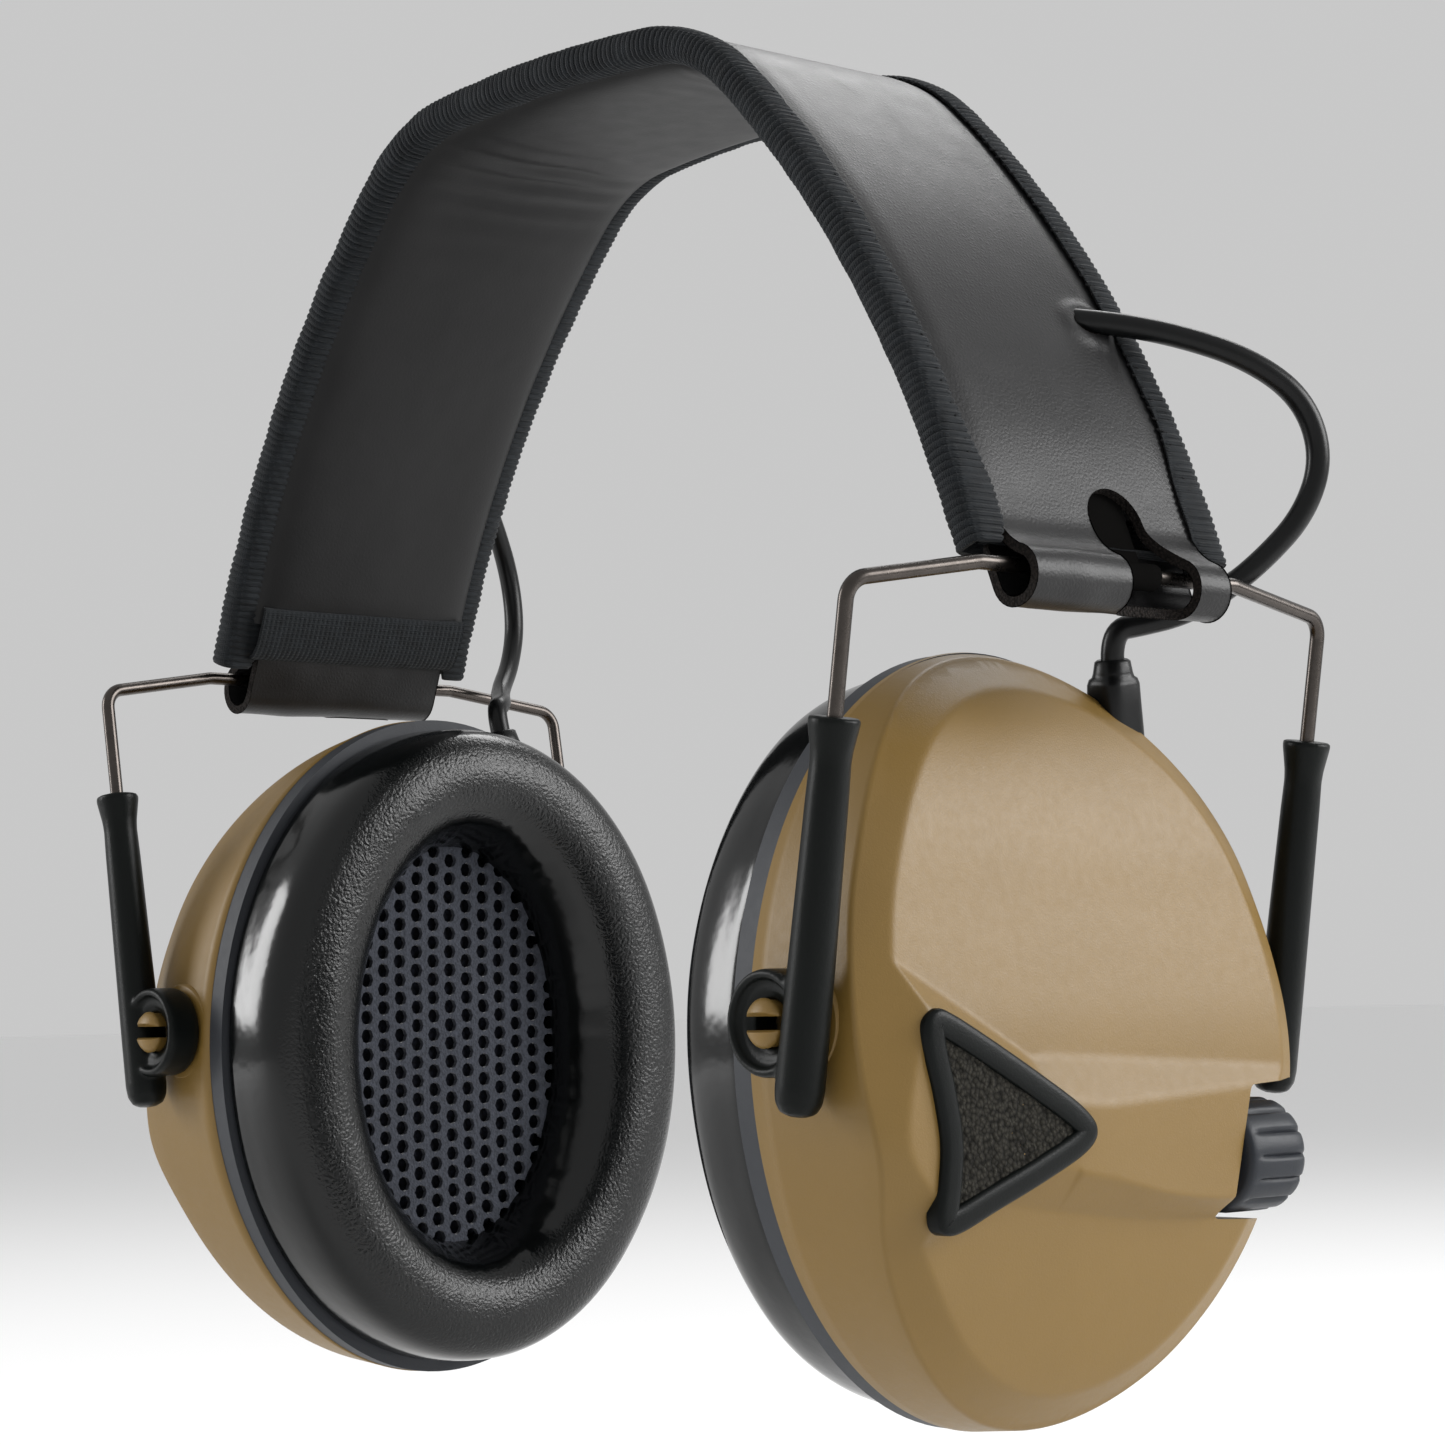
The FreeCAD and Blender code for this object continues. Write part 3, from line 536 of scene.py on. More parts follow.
def tube_mesh(line, radius, sides=14):
    """Rings along a line, with both ends closed. line and radius are in metres."""
    points = []
    side = (line[1] - line[0]).normalized().orthogonal().normalized()
    for i, p in enumerate(line):
        last, after = line[max(i - 1, 0)], line[min(i + 1, len(line) - 1)]
        turned = (after - last).normalized()
        side = (side - turned * side.dot(turned)).normalized()
        points += [q / MM for q in circle(p, side, turned.cross(side), radius, sides)]
    return points, tube_faces(len(line), sides)


def leads(side):
    """One lead in three stretches, split at given lengths along it."""
    line = lead_line(LEFT_ROUTE if side == LEFT else RIGHT_ROUTE, side)
    along = [0.0]
    for a, b in zip(line, line[1:]):
        along.append(along[-1] + (b - a).length)
    first, second = (min(range(len(line)), key=lambda i: abs(along[i] - split)) for split in LEAD_SPLITS)
    parts = (("lead_upper", 0, first, "headband", side_name(side, "bail")),
             ("lead_lower", first, second, side_name(side, "bail"), side_name(side, "arms")),
             ("lead_end", second, len(line) - 1, side_name(side, "arms"), side_name(side, "cup")))
    for name, a, b, before, after in parts:
        path = line[a:b + 1]
        points, faces = tube_mesh(path, CABLE_R * MM)
        obj = piece(side_name(side, name), points, faces, "cable_jacket")
        tuple(path[0])
        tuple(path[-1])
        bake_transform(obj)
    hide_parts(side_name(side, "cable"))


for side in (LEFT, RIGHT):
    leads(side)

# ---- the headband's path -------------------------------------------------------------------
BAND_THICK = 5.55
COVER = 1.4
BAND_HALF = 22.2
ROLL_HALF = 17.5
ARCH = [(250.0, 5.2), (28.0, 38.8), (166.0, 25.0)]
ROLL = [(0, 3.5), (-8.0, 46.3), (3.9, 226.3), (0, 7.0)]


def along_arc(x, z, heading, radius, turn):
    """Where an arc from x, z has come to after a turn, in radians."""
    cx, cz = x + math.sin(heading) * radius, z - math.cos(heading) * radius
    dx, dz = x - cx, z - cz
    return cx + dx * math.cos(turn) - dz * math.sin(turn), cz + dx * math.sin(turn) + dz * math.cos(turn)


def pieces_of_path():
    """(start length, x, z, heading, radius, turn or run) for each arc or line of half the band."""
    out = []
    x, z, heading, s = 0.0, BAND_THICK, 0.0, 0.0
    for radius, turn in ARCH + ROLL:
        out.append((s, x, z, heading, radius, turn))
        h = math.radians(heading)
        if radius == 0:
            x, z, s = x + math.cos(h) * turn, z + math.sin(h) * turn, s + turn
            continue
        t = math.radians(-turn if radius > 0 else turn)
        x, z = along_arc(x, z, h, radius, t)
        heading += math.degrees(t)
        s += abs(radius) * math.radians(turn)
    out.append((s, x, z, heading, 0, 1000.0))
    return out


PATH = pieces_of_path()
ARCH_LENGTH = PATH[3][0]
ROLL_LENGTH = PATH[-1][0]


def on_path(s, depth, straight_after=None):
    """(x, z) at a length along the band from its crown, and a depth below its outer face."""
    side = LEFT if s >= 0 else RIGHT
    s = abs(s)
    if straight_after is not None and s > straight_after:
        start = [p for p in PATH if p[0] <= straight_after - 1e-6][-1]
        extra, s = s - straight_after, straight_after
    else:
        start, extra = [p for p in PATH if p[0] <= s][-1], 0.0
    x, z, heading, radius = start[1:5]
    h = math.radians(heading)
    run = s - start[0]
    if radius == 0:
        x, z = x + math.cos(h) * run, z + math.sin(h) * run
    else:
        x, z = along_arc(x, z, h, radius, -run / radius)
        h -= run / radius
    x, z = x + math.cos(h) * extra, z + math.sin(h) * extra
    return (x + math.sin(h) * depth) * side, z - math.cos(h) * depth


def wobble(x, y, z, scale):
    """Smooth noise, about -1 to 1."""
    return noise.noise(Vector((x * scale, y * scale, z * scale)))


# ---- outer leather -------------------------------------------------------------------------
WINDOW_Y, WINDOW_HALF, WINDOW_FLARE = 4.1, 4.8, 2.9
WINDOW_TOP, WINDOW_FOOT, WINDOW_CORNER = ARCH_LENGTH - 1.4, 134.9, 1.8
EXIT_S, EXIT_Y, EXIT_HALF_S, EXIT_HALF_Y, EXIT_FINE = 86.2, 14.6, 1.75, 2.9, 9


def window_outline(side):
    """The window's rounded top, its sides spreading to the rear, and its foot under the roll."""
    corner = WINDOW_TOP + WINDOW_HALF
    front, rear = WINDOW_Y - WINDOW_HALF, WINDOW_Y + WINDOW_HALF
    out = []
    for k in range(17):
        a = math.pi * k / 16
        out.append((corner - WINDOW_HALF * math.sin(a), WINDOW_Y - WINDOW_HALF * math.cos(a)))
    for s in np.arange(corner + 0.8, WINDOW_FOOT - WINDOW_CORNER, 0.8):
        out.append((s, rear + WINDOW_FLARE * float(ramp((s - corner) / 6))))
    rear += WINDOW_FLARE
    r, turns = WINDOW_CORNER, [math.pi / 2 * k / 8 for k in range(9)]
    out += [(WINDOW_FOOT - r + r * math.sin(a), rear - r + r * math.cos(a)) for a in turns]
    out += [(WINDOW_FOOT - r + r * math.cos(a), front + r - r * math.sin(a)) for a in turns]
    out += [(s, front) for s in np.arange(WINDOW_FOOT - 3.0, corner + 0.6, -1.2)]
    return [(s * side, y) for s, y in out]


def exit_outline(side):
    """The slit that a lead comes out of."""
    turns = (2 * math.pi * k / 20 for k in range(20))
    return [((EXIT_S + EXIT_HALF_S * math.sin(a)) * side, EXIT_Y + EXIT_HALF_Y * math.cos(a)) for a in turns]


def cover_edge():
    """The leather's outline: full width over the arch, narrower where it rolls."""
    wide, narrow = ARCH_LENGTH + 4.0, ARCH_LENGTH + 5.5
    half = [(s, -BAND_HALF) for s in np.arange(0, wide - 1.2, 1.5)]
    half += round_corners([(wide - 1.4, -BAND_HALF), (wide, -BAND_HALF), (narrow, -ROLL_HALF),
                           (narrow + 2, -ROLL_HALF)], [0, 1.6, 2.0, 0], 5)
    half += [(s, -ROLL_HALF) for s in np.arange(narrow + 3, ROLL_LENGTH - 0.3, 0.8)]
    half += [(ROLL_LENGTH, y) for y in np.linspace(-ROLL_HALF, 0, 18)]
    half += [(s, -y) for s, y in reversed(half[:-1])]
    return half[:-1] + [(-s, -y) for s, y in half[:-1]]


def cover_lift(s, y):
    """Small creases and swellings of the outer leather."""
    side = 1 if s >= 0 else -1
    a = abs(s)
    lift = 0.12 * wobble(s, y, 3, 0.05) + 0.010 * wobble(s, y, 9, 0.35)
    r = math.hypot((a - EXIT_S) / 1.2, (y - EXIT_Y) / 1.6)
    lift += 0.42 * math.exp(-((r - 2.2) / 1.0) ** 2)
    tuck = abs(y - EXIT_Y - 0.6) / 1.1
    lift -= 0.30 * math.exp(-tuck ** 2) * math.exp(-((a - EXIT_S - 5.5) / 3.2) ** 2)
    if a > ARCH_LENGTH - 14:
        fade = min(1, (a - ARCH_LENGTH + 14) / 10)
        lift += fade * 0.05 * wobble(s, y, 5 * side, 0.10)
    if a > 124:
        lift += 0.25 * math.exp(-((y + 9) / 5) ** 2) + 0.12 * wobble(s, y, 17, 0.2)
    edge = BAND_HALF - abs(y)
    full = 0.45 * float(ramp(np.float64((edge - 2.6) / 4))) - 0.15
    lift += full * (1 - float(ramp(np.float64((a - ARCH_LENGTH + 10) / 12))))
    return lift


def cover_layer(depth, share):
    """A layer of the outer leather: its depth, and how much of the creases and swellings it follows."""
    def place(flat):
        out = []
        for s, y in flat:
            x, z = on_path(s, depth - share * cover_lift(s, y))
            out.append((x, y, z))
        return out
    return place


def headband_cover():
    """The outer leather, with a finer mesh on the rolls and round the leads' slits."""
    coarse = hex_grid((-ROLL_LENGTH, -BAND_HALF), (ROLL_LENGTH, BAND_HALF), 1.5)
    a = np.abs(coarse[:, 0])
    fine = hex_grid((-ROLL_LENGTH, -BAND_HALF), (ROLL_LENGTH, BAND_HALF), 0.8)
    b = np.abs(fine[:, 0])
    far = np.hypot(a - EXIT_S, coarse[:, 1] - EXIT_Y) >= EXIT_FINE
    near = np.hypot(b - EXIT_S, fine[:, 1] - EXIT_Y) < EXIT_FINE
    inner = np.concatenate([coarse[(a < ARCH_LENGTH) & far], fine[(b >= ARCH_LENGTH) | near]])
    holes = [window_outline(LEFT), window_outline(RIGHT), exit_outline(LEFT), exit_outline(RIGHT)]
    flat, faces = fill(cover_edge(), holes, inner, 0.4)
    return slab(flat, faces, cover_layer(0.12, 1.0), cover_layer(COVER - 0.12, 0.6),
                [cover_layer(0.0, 1.0), cover_layer(COVER, 0.6)])


points, faces, cut = headband_cover()
piece("outer_leather", points, faces, "leather", "headband", ("headband_cover",), 40,
      edge_faces=cut, edge_look="leather_edge")

# ---- lining --------------------------------------------------------------------------------
LINING_HALF = 20.2
LINING_LENGTH = ARCH_LENGTH + 0.6


def lining_depth(s, y):
    """How deep the padded underside lies: pillowed between its two bindings."""
    a = abs(s)
    across = min(1.0, abs(y) / LINING_HALF)
    pillow = (1 - across ** 7) ** 0.55
    puff = 0.55 * (1 - across ** 2)
    along = min(1.0, max(0.0, (LINING_LENGTH - a) / 5))
    shoulder = math.exp(-((a - 32) / 12) ** 2)
    fold = 0.32 * shoulder * math.sin(a * 1.15 + 2.2 * wobble(s, y, 2, 0.07)) * (1 - across ** 2)
    soft = 0.35 * wobble(s, y, 11, 0.05) + 0.06 * wobble(s, y, 4, 0.4)
    return 3.15 + (2.15 + puff * along + fold + soft * (1 - across ** 3)) * pillow


def lining_points(flat, back):
    out = []
    for s, y in flat:
        deep = lining_depth(s, y) - (0.5 if back else 0.0)
        x, z = on_path(s, max(deep, 2.75), ARCH_LENGTH)
        out.append((x, y, z))
    return out


rows = np.linspace(-LINING_LENGTH, LINING_LENGTH, 190)
cols = LINING_HALF * np.sin(np.linspace(-math.pi / 2, math.pi / 2, 45))
flat = np.array([(s, y) for s in rows for y in cols])
points = lining_points(flat, False) + lining_points(flat, True)
n = len(flat)
faces = grid_faces(len(rows), len(cols)) + [tuple(reversed(f)) for f in grid_faces(len(rows), len(cols), start=n)]
border = list(range(len(cols))) + [len(cols) * (k + 1) - 1 for k in range(1, len(rows))]
border += [n - 2 - k for k in range(len(cols) - 1)] + [len(cols) * k for k in range(len(rows) - 2, 0, -1)]
for a, b in zip(border, border[1:] + border[:1]):
    faces.append((b, a, a + n, b + n))
lining = piece("lining", points, faces, "lining", "headband", ("headband_lining",), 60)

# ---- edge bindings -------------------------------------------------------------------------
TAIL = 8.0
RIB = 1.0
TAPE = [(-0.02, 18.9), (-0.36, 18.75), (-0.55, 19.3), (-0.62, 20.4), (-0.58, 21.5), (-0.3, 22.5), (0.3, 23.05),
        (1.3, 23.3), (2.3, 23.25), (3.1, 22.9), (3.62, 22.2), (3.86, 21.2), (3.95, 20.2), (3.85, 19.2), (3.6, 18.75),
        (3.2, 18.9), (3.2, 20.6), (2.9, 22.3), (1.6, 22.45), (0.2, 22.3), (-0.02, 21.0)]
TAPE_OUT = 14
TAPE_INNER_EDGES = (0, 1, 2, 13, 14, 15)
STRAIGHT_AFTER = ARCH_LENGTH + 3.4


def binding(sign, name, node):
    """Ribbed tape folded round one long edge."""
    reach = ARCH_LENGTH + TAIL
    step = RIB / 6
    count = int(2 * reach / step)
    points = []
    for i in range(count + 1):
        s = -reach + 2 * reach * i / count
        phase = (s / RIB + 0.12 * wobble(s, sign, 1, 0.5)) % 1.0
        rib = abs(math.sin(math.pi * phase)) ** 0.7
        sway = 0.22 * wobble(s, sign * 7, 0, 0.16)
        taper = min(1.0, (reach - abs(s)) / 3.0)
        for k, (deep, y) in enumerate(TAPE):
            thick = 0.34 * (rib - 0.5) if 1 <= k <= TAPE_OUT else 0.0
            a, b = TAPE[k - 1], TAPE[(k + 1) % len(TAPE)]
            nd, ny = (b[1] - a[1]), -(b[0] - a[0])
            size = math.hypot(nd, ny) or 1
            shift = 0.25 * wobble(s, sign * 3, 5 if deep > 1.5 else 2, 0.11) if k in TAPE_INNER_EDGES else 0.0
            lift = 0.10 * wobble(s, k * 0.3, sign, 0.3)
            d = deep - nd / size * (thick + lift)
            w = y + sway + shift - ny / size * (thick + lift)
            if k in (*TAPE_INNER_EDGES, len(TAPE) - 1):
                w -= 1.6 * ramp(np.float64((abs(s) - ARCH_LENGTH + 14) / 16))
            w = 22.6 + (w - 22.6) * (0.75 + 0.25 * taper)
            x, z = on_path(s, d, STRAIGHT_AFTER)
            points.append((x, sign * w, z))
    piece(name, points, tube_faces(count + 1, len(TAPE)), "binding_tape", "headband", (node,), 60)


binding(1, "rear_edge_tape", "rear_binding")
binding(-1, "front_edge_tape", "front_binding")


def capsule(a, b, radius, points, faces, sides=5):
    """A short thread from a to b, round-ended."""
    a, b = Vector(a), Vector(b)
    ahead = (b - a).normalized()
    side = ahead.orthogonal().normalized()
    up = ahead.cross(side)
    profile = ((-0.02, 0.25), (0.1, 0.9), (0.5, 1.0), (0.9, 0.9), (1.02, 0.25))
    faces += tube_faces(len(profile), sides, len(points))
    for t, r in profile:
        points += circle(a + (b - a) * t, side, up, radius * r, sides)


def stitches():
    """The zigzag seam along the inner edge of each binding, outside and inside."""
    random.seed(3)
    points, faces = [], []
    pitch, reach = 1.7, ARCH_LENGTH + 1
    for sign in (1, -1):
        for deep, low in ((-0.62, 0.45), (3.95, -0.50)):
            for i in range(int(2 * reach / pitch)):
                s = pitch * i - reach
                y0, y1 = 18.35 + random.uniform(-0.1, 0.1), 19.75 + random.uniform(-0.1, 0.1)
                out = []
                for t, y, d in ((s, y0, deep + low * 0.9), (s + pitch * 0.45, y1, deep)):
                    x, z = on_path(t, d, STRAIGHT_AFTER)
                    out.append((x, sign * y, z))
                capsule(out[0], out[1], 0.17, points, faces)
    piece("edge_stitching", points, faces, "thread", "headband", sharp=180)


stitches()


def end_strip(side):
    """The ribbed tape folded over the padding's end, above the roll."""
    profile = smooth_line([(-2.2, 5.55), (-1.8, 5.95), (0.5, 6.0), (2.6, 5.85), (3.9, 5.3), (4.7, 4.3), (5.0, 3.0),
                           (4.9, 1.8)], 4)
    profile = [(t + 1.6 * ramp(np.float64((t - 1.0) / 4)), d) for t, d in profile]
    back = [(p[0] - 0.15 if p[0] > 4 else p[0], p[1] - 0.5) for p in reversed(profile)]
    ring = profile + back
    half, step = 19.0, 0.17
    count = int(2 * half / step)
    points = []
    for i in range(count + 1):
        y = -half + 2 * half * i / count
        rib = abs(math.sin(math.pi * y / 0.85)) ** 0.7
        bow = 0.15 * (1 - (y / half) ** 2)
        for k, (t, deep) in enumerate(ring):
            out = 0.16 * rib + bow if k < len(profile) else bow
            x, z = on_path(ARCH_LENGTH + t + 0.12 * wobble(y, t, side, 0.3), deep + out - 0.25, ARCH_LENGTH)
            points.append((x * side, y, z))
    piece(side_name(side, "end_tape"), points, tube_faces(count + 1, len(ring)), "binding_tape", "headband",
          (side_name(side, "end_strip"),), 60)


for side in (LEFT, RIGHT):
    end_strip(side)

# ---- slide arms ----------------------------------------------------------------------------
LEAN = math.radians(9.8)
LEG = Vector((80.75, 42.6, -76.3))
DOWN = Vector((-math.sin(LEAN), 0, -math.cos(LEAN)))
ARM_TOP = LEG + DOWN * 16.1
ACROSS = (0, 1, 0)
PIVOT = Vector((66.7, 0, -127.2))


def lathe(profile, centre, axis, sides):
    """Points and faces of a closed profile of (radius, along) turned round an axis."""
    axis = Vector(axis).normalized()
    side = axis.orthogonal().normalized()
    up = axis.cross(side)
    points = [p for r, t in profile for p in circle(centre + axis * t, side, up, r, sides)]
    return points, grid_faces(len(profile), sides, close_cols=True)


def join(*meshes):
    """Several meshes as one."""
    points, faces = [], []
    for p, f in meshes:
        start = len(points)
        points += list(p)
        faces += [tuple(i + start for i in q) for q in f]
    return points, faces


def voxelled(obj, size_mm, relax, cut_points, cut_faces):
    """One skin over the overlapping solids of a piece, its inner corners filleted, less a cutter's shape."""
    drill = piece("drill", cut_points, cut_faces, "black_plastic")
    for kind, values in (("REMESH", {"mode": "VOXEL", "voxel_size": size_mm * MM, "use_smooth_shade": True}),
                         ("SMOOTH", {"factor": 0.5, "iterations": relax}),
                         ("BOOLEAN", {"operation": "DIFFERENCE", "solver": "FAST", "object": drill})):
        modifier = obj.modifiers.new(kind.lower(), kind)
        for key, value in values.items():
            setattr(modifier, key, value)
    shown = obj.evaluated_get(bpy.context.evaluated_depsgraph_get())
    mesh = bpy.data.meshes.new_from_object(shown)
    obj.modifiers.clear()
    old, name = obj.data, obj.data.name
    obj.data = mesh
    bpy.data.meshes.remove(old)
    bpy.data.meshes.remove(drill.data)
    mesh.name = name
    mesh.polygons.foreach_set("use_smooth", [True] * len(mesh.polygons))


def slide_arm(side, sign, name):
    """The tube that slides on the bail's leg, with the eye that turns on the cup's stud."""
    tube = [(0.01, 46.6), (1.2, 46.55), (2.2, 46.1), (2.8, 45.0), (2.97, 43.5), (2.9, 36), (2.72, 22), (2.55, 9),
            (2.45, 5.2), (2.55, 3.8), (2.95, 1.5), (3.12, 0.5), (3.05, 0.05), (2.7, -0.1), (0.01, -0.1)]
    bore = [(0.01, -2.0), (1.3, -2.0), (1.3, 42.5), (0.01, 42.9)]
    boss = [(2.8, 39.7), (5.2, 39.6), (6.1, 39.8), (6.4, 40.6), (6.4, 44.0), (6.25, 44.7), (5.8, 44.95), (5.35, 44.7),
            (5.15, 44.1), (4.9, 43.8), (3.9, 43.75), (3.75, 43.5), (2.85, 43.3), (2.8, 39.7)]
    points, faces = join(lathe(tube, ARM_TOP, DOWN, 40), lathe(boss, PIVOT, ACROSS, 48))
    obj = piece(side_name(side, name + "_slide_arm"), mirrored(points, side, sign), faces, "black_plastic",
                side_name(side, "arms"), (side_name(side, name + "_arm"),), 180)
    points, faces = lathe(bore, ARM_TOP, DOWN, 32)
    voxelled(obj, 0.30, 3, mirrored(points, side, sign), faces)


for side in (LEFT, RIGHT):
    slide_arm(side, 1, "rear")
    slide_arm(side, -1, "front")

# ---- cup shells ----------------------------------------------------------------------------
CUP_Z = -129.9
CUP_Y, CUP_T = 38.9, 48.5
SHELL_X = 58.6
WALL_EDGE = np.array([(-50, 64.6), (-46, 67.0), (-42, 69.1), (-36, 71.3), (-28.6, 73.4), (-20, 75.1), (-12, 76.2),
                      (-5, 76.6), (1.6, 76.1), (9, 74.9), (16, 73.6), (25, 71.9), (34, 68.9), (40, 66.0), (46, 62.2),
                      (50, 59.4)])
FACE_RISE = 2.5
RIM_SLOPE = 0.55


def hermite(table, at):
    x, y = table[:, 0], table[:, 1]
    slope = np.gradient(y, x)
    i = np.clip(np.searchsorted(x, at) - 1, 0, len(x) - 2)
    h = x[i + 1] - x[i]
    t = np.clip((at - x[i]) / h, 0, 1)
    return ((2 * t ** 3 - 3 * t ** 2 + 1) * y[i] + (t ** 3 - 2 * t ** 2 + t) * h * slope[i]
            + (3 * t ** 2 - 2 * t ** 3) * y[i + 1] + (t ** 3 - t ** 2) * h * slope[i + 1])


def soft_min(a, b, k):
    h = np.clip(0.5 + 0.5 * (b - a) / k, 0, 1)
    return b * (1 - h) + a * h - k * h * (1 - h)


def soft_max(a, b, k):
    return -soft_min(-a, -b, k)


def wall_top(t):
    """X of the face's plane where it would meet the cup's wall, at height t."""
    return hermite(WALL_EDGE, t) + FACE_RISE


def from_rim(y, t):
    """How far inside the cup's oval a point lies."""
    r = np.sqrt((y / CUP_Y) ** 2 + (t / CUP_T) ** 2) + 1e-9
    return (1 - r) * r / np.sqrt(y ** 2 / CUP_Y ** 4 + t ** 2 / CUP_T ** 4 + 1e-12)


def cup_face(y, t):
    """X of the cup's outer face at y and t, the height above the cup's centre."""
    y, t = np.asarray(y, float), np.asarray(t, float)
    base = wall_top(t)
    bulge = 2.0 * np.exp(-((t + 14.0) / 7.8) ** 2) * ramp((-y - 2) / 14)
    # the microphone's plane, proud at its tip, and the bar that runs back from it
    plane = 80.1 + 0.055 * (y + 33)
    top = 81.75 - 0.047 * (y + 4)
    upper_away = -((y + 33.9) * 0.493 + (t - 9.9) * 0.870)
    facet = wall_top(9.9 - 0.567 * (y + 33.9)) + 0.75 * upper_away
    root = -1.8 - 0.0545 * (y + 12.4)
    slope = wall_top(root) + 0.46 * (root - t)
    w = ramp((y + 15) / 5)
    upper = facet * (1 - w) + slope * w
    lower_away = -(y + 32.3) * 0.314 + (t + 24.6) * 0.949
    rise = np.clip((y + 16.6) / 10.6, 0, 1)
    lower_facet = wall_top(-24.6 + 0.331 * (y + 32.3)) + 3.2 * rise + 0.75 * lower_away
    foot = soft_max(-19.8 - 0.125 * (y + 16.6), -23.3 + 0 * y, 1.5)
    crest = soft_max(-15.9 - 0.2317 * (y + 6), -20.6 + 0 * y, 2.0)
    foot_x = wall_top(foot)
    steep = np.clip((top - foot_x) / np.maximum(crest - foot, 1.5), 0.5, 1.8)
    under = foot_x + steep * (t - foot) + 1.2 * np.clip(-16.6 - y, 0, 60)
    raised = soft_min(plane, top, 0.5)
    for facet in (upper, lower_facet + 0.6 * np.clip(y + 7.2, 0, 60), under):
        raised = soft_min(raised, facet, 0.4)
    face = soft_max(base, raised, 0.3)
    rim = hermite(WALL_EDGE, t) + bulge + RIM_SLOPE * from_rim(y, t)
    return soft_min(face, rim, 0.3)


def on_oval(half_y, half_t, a):
    """A point of an oval, and the direction out of it there."""
    ny, nt = math.cos(a) / half_y, math.sin(a) / half_t
    size = math.hypot(ny, nt)
    return half_y * math.cos(a), half_t * math.sin(a), ny / size, nt / size


def cup_oval(inset, steps):
    """The cup's oval drawn in by inset, anticlockwise from the rear."""
    ring = [on_oval(CUP_Y, CUP_T, 2 * math.pi * k / steps) for k in range(steps)]
    return [(y - ny * inset, t - nt * inset) for y, t, ny, nt in ring]


BAY = [(26.4, -6.6), (21.6, -23.4)]
BAY_FLOOR = 66.3
DOOR = (-15.0, 15.0, -41.0, -27.0)
DOOR_GAP = 0.3
EDGE_IN = 0.6
DRAFT = 0.62


def rounded_box(y0, y1, t0, t1, r):
    return round_corners([(y0, t0), (y1, t0), (y1, t1), (y0, t1)], [r] * 4, 6)


def dense_open(line, step):
    """The same line with points about a step apart."""
    out = []
    for a, b in zip(line, line[1:]):
        n = max(1, int(math.dist(a, b) / step))
        out += [(a[0] + (b[0] - a[0]) * k / n, a[1] + (b[1] - a[1]) * k / n) for k in range(n)]
    return out + [line[-1]]


def dense(outline, step):
    """The same closed outline with points about a step apart."""
    return dense_open(outline + outline[:1], step)[:-1]


def crease_points(low, high, coarse, fine, limit):
    """A grid that is fine where the cup's face bends and coarse elsewhere."""
    wide = hex_grid(low, high, coarse)
    close = hex_grid(low, high, fine)
    h = 0.45
    y, t = close[:, 0], close[:, 1]
    bend = cup_face(y + h, t) + cup_face(y - h, t) + cup_face(y, t + h) + cup_face(y, t - h) - 4 * cup_face(y, t)
    return np.concatenate([wide, close[np.abs(bend) > limit]])


def skin_point(side, y, t, x):
    return (x * side, y, CUP_Z + t)


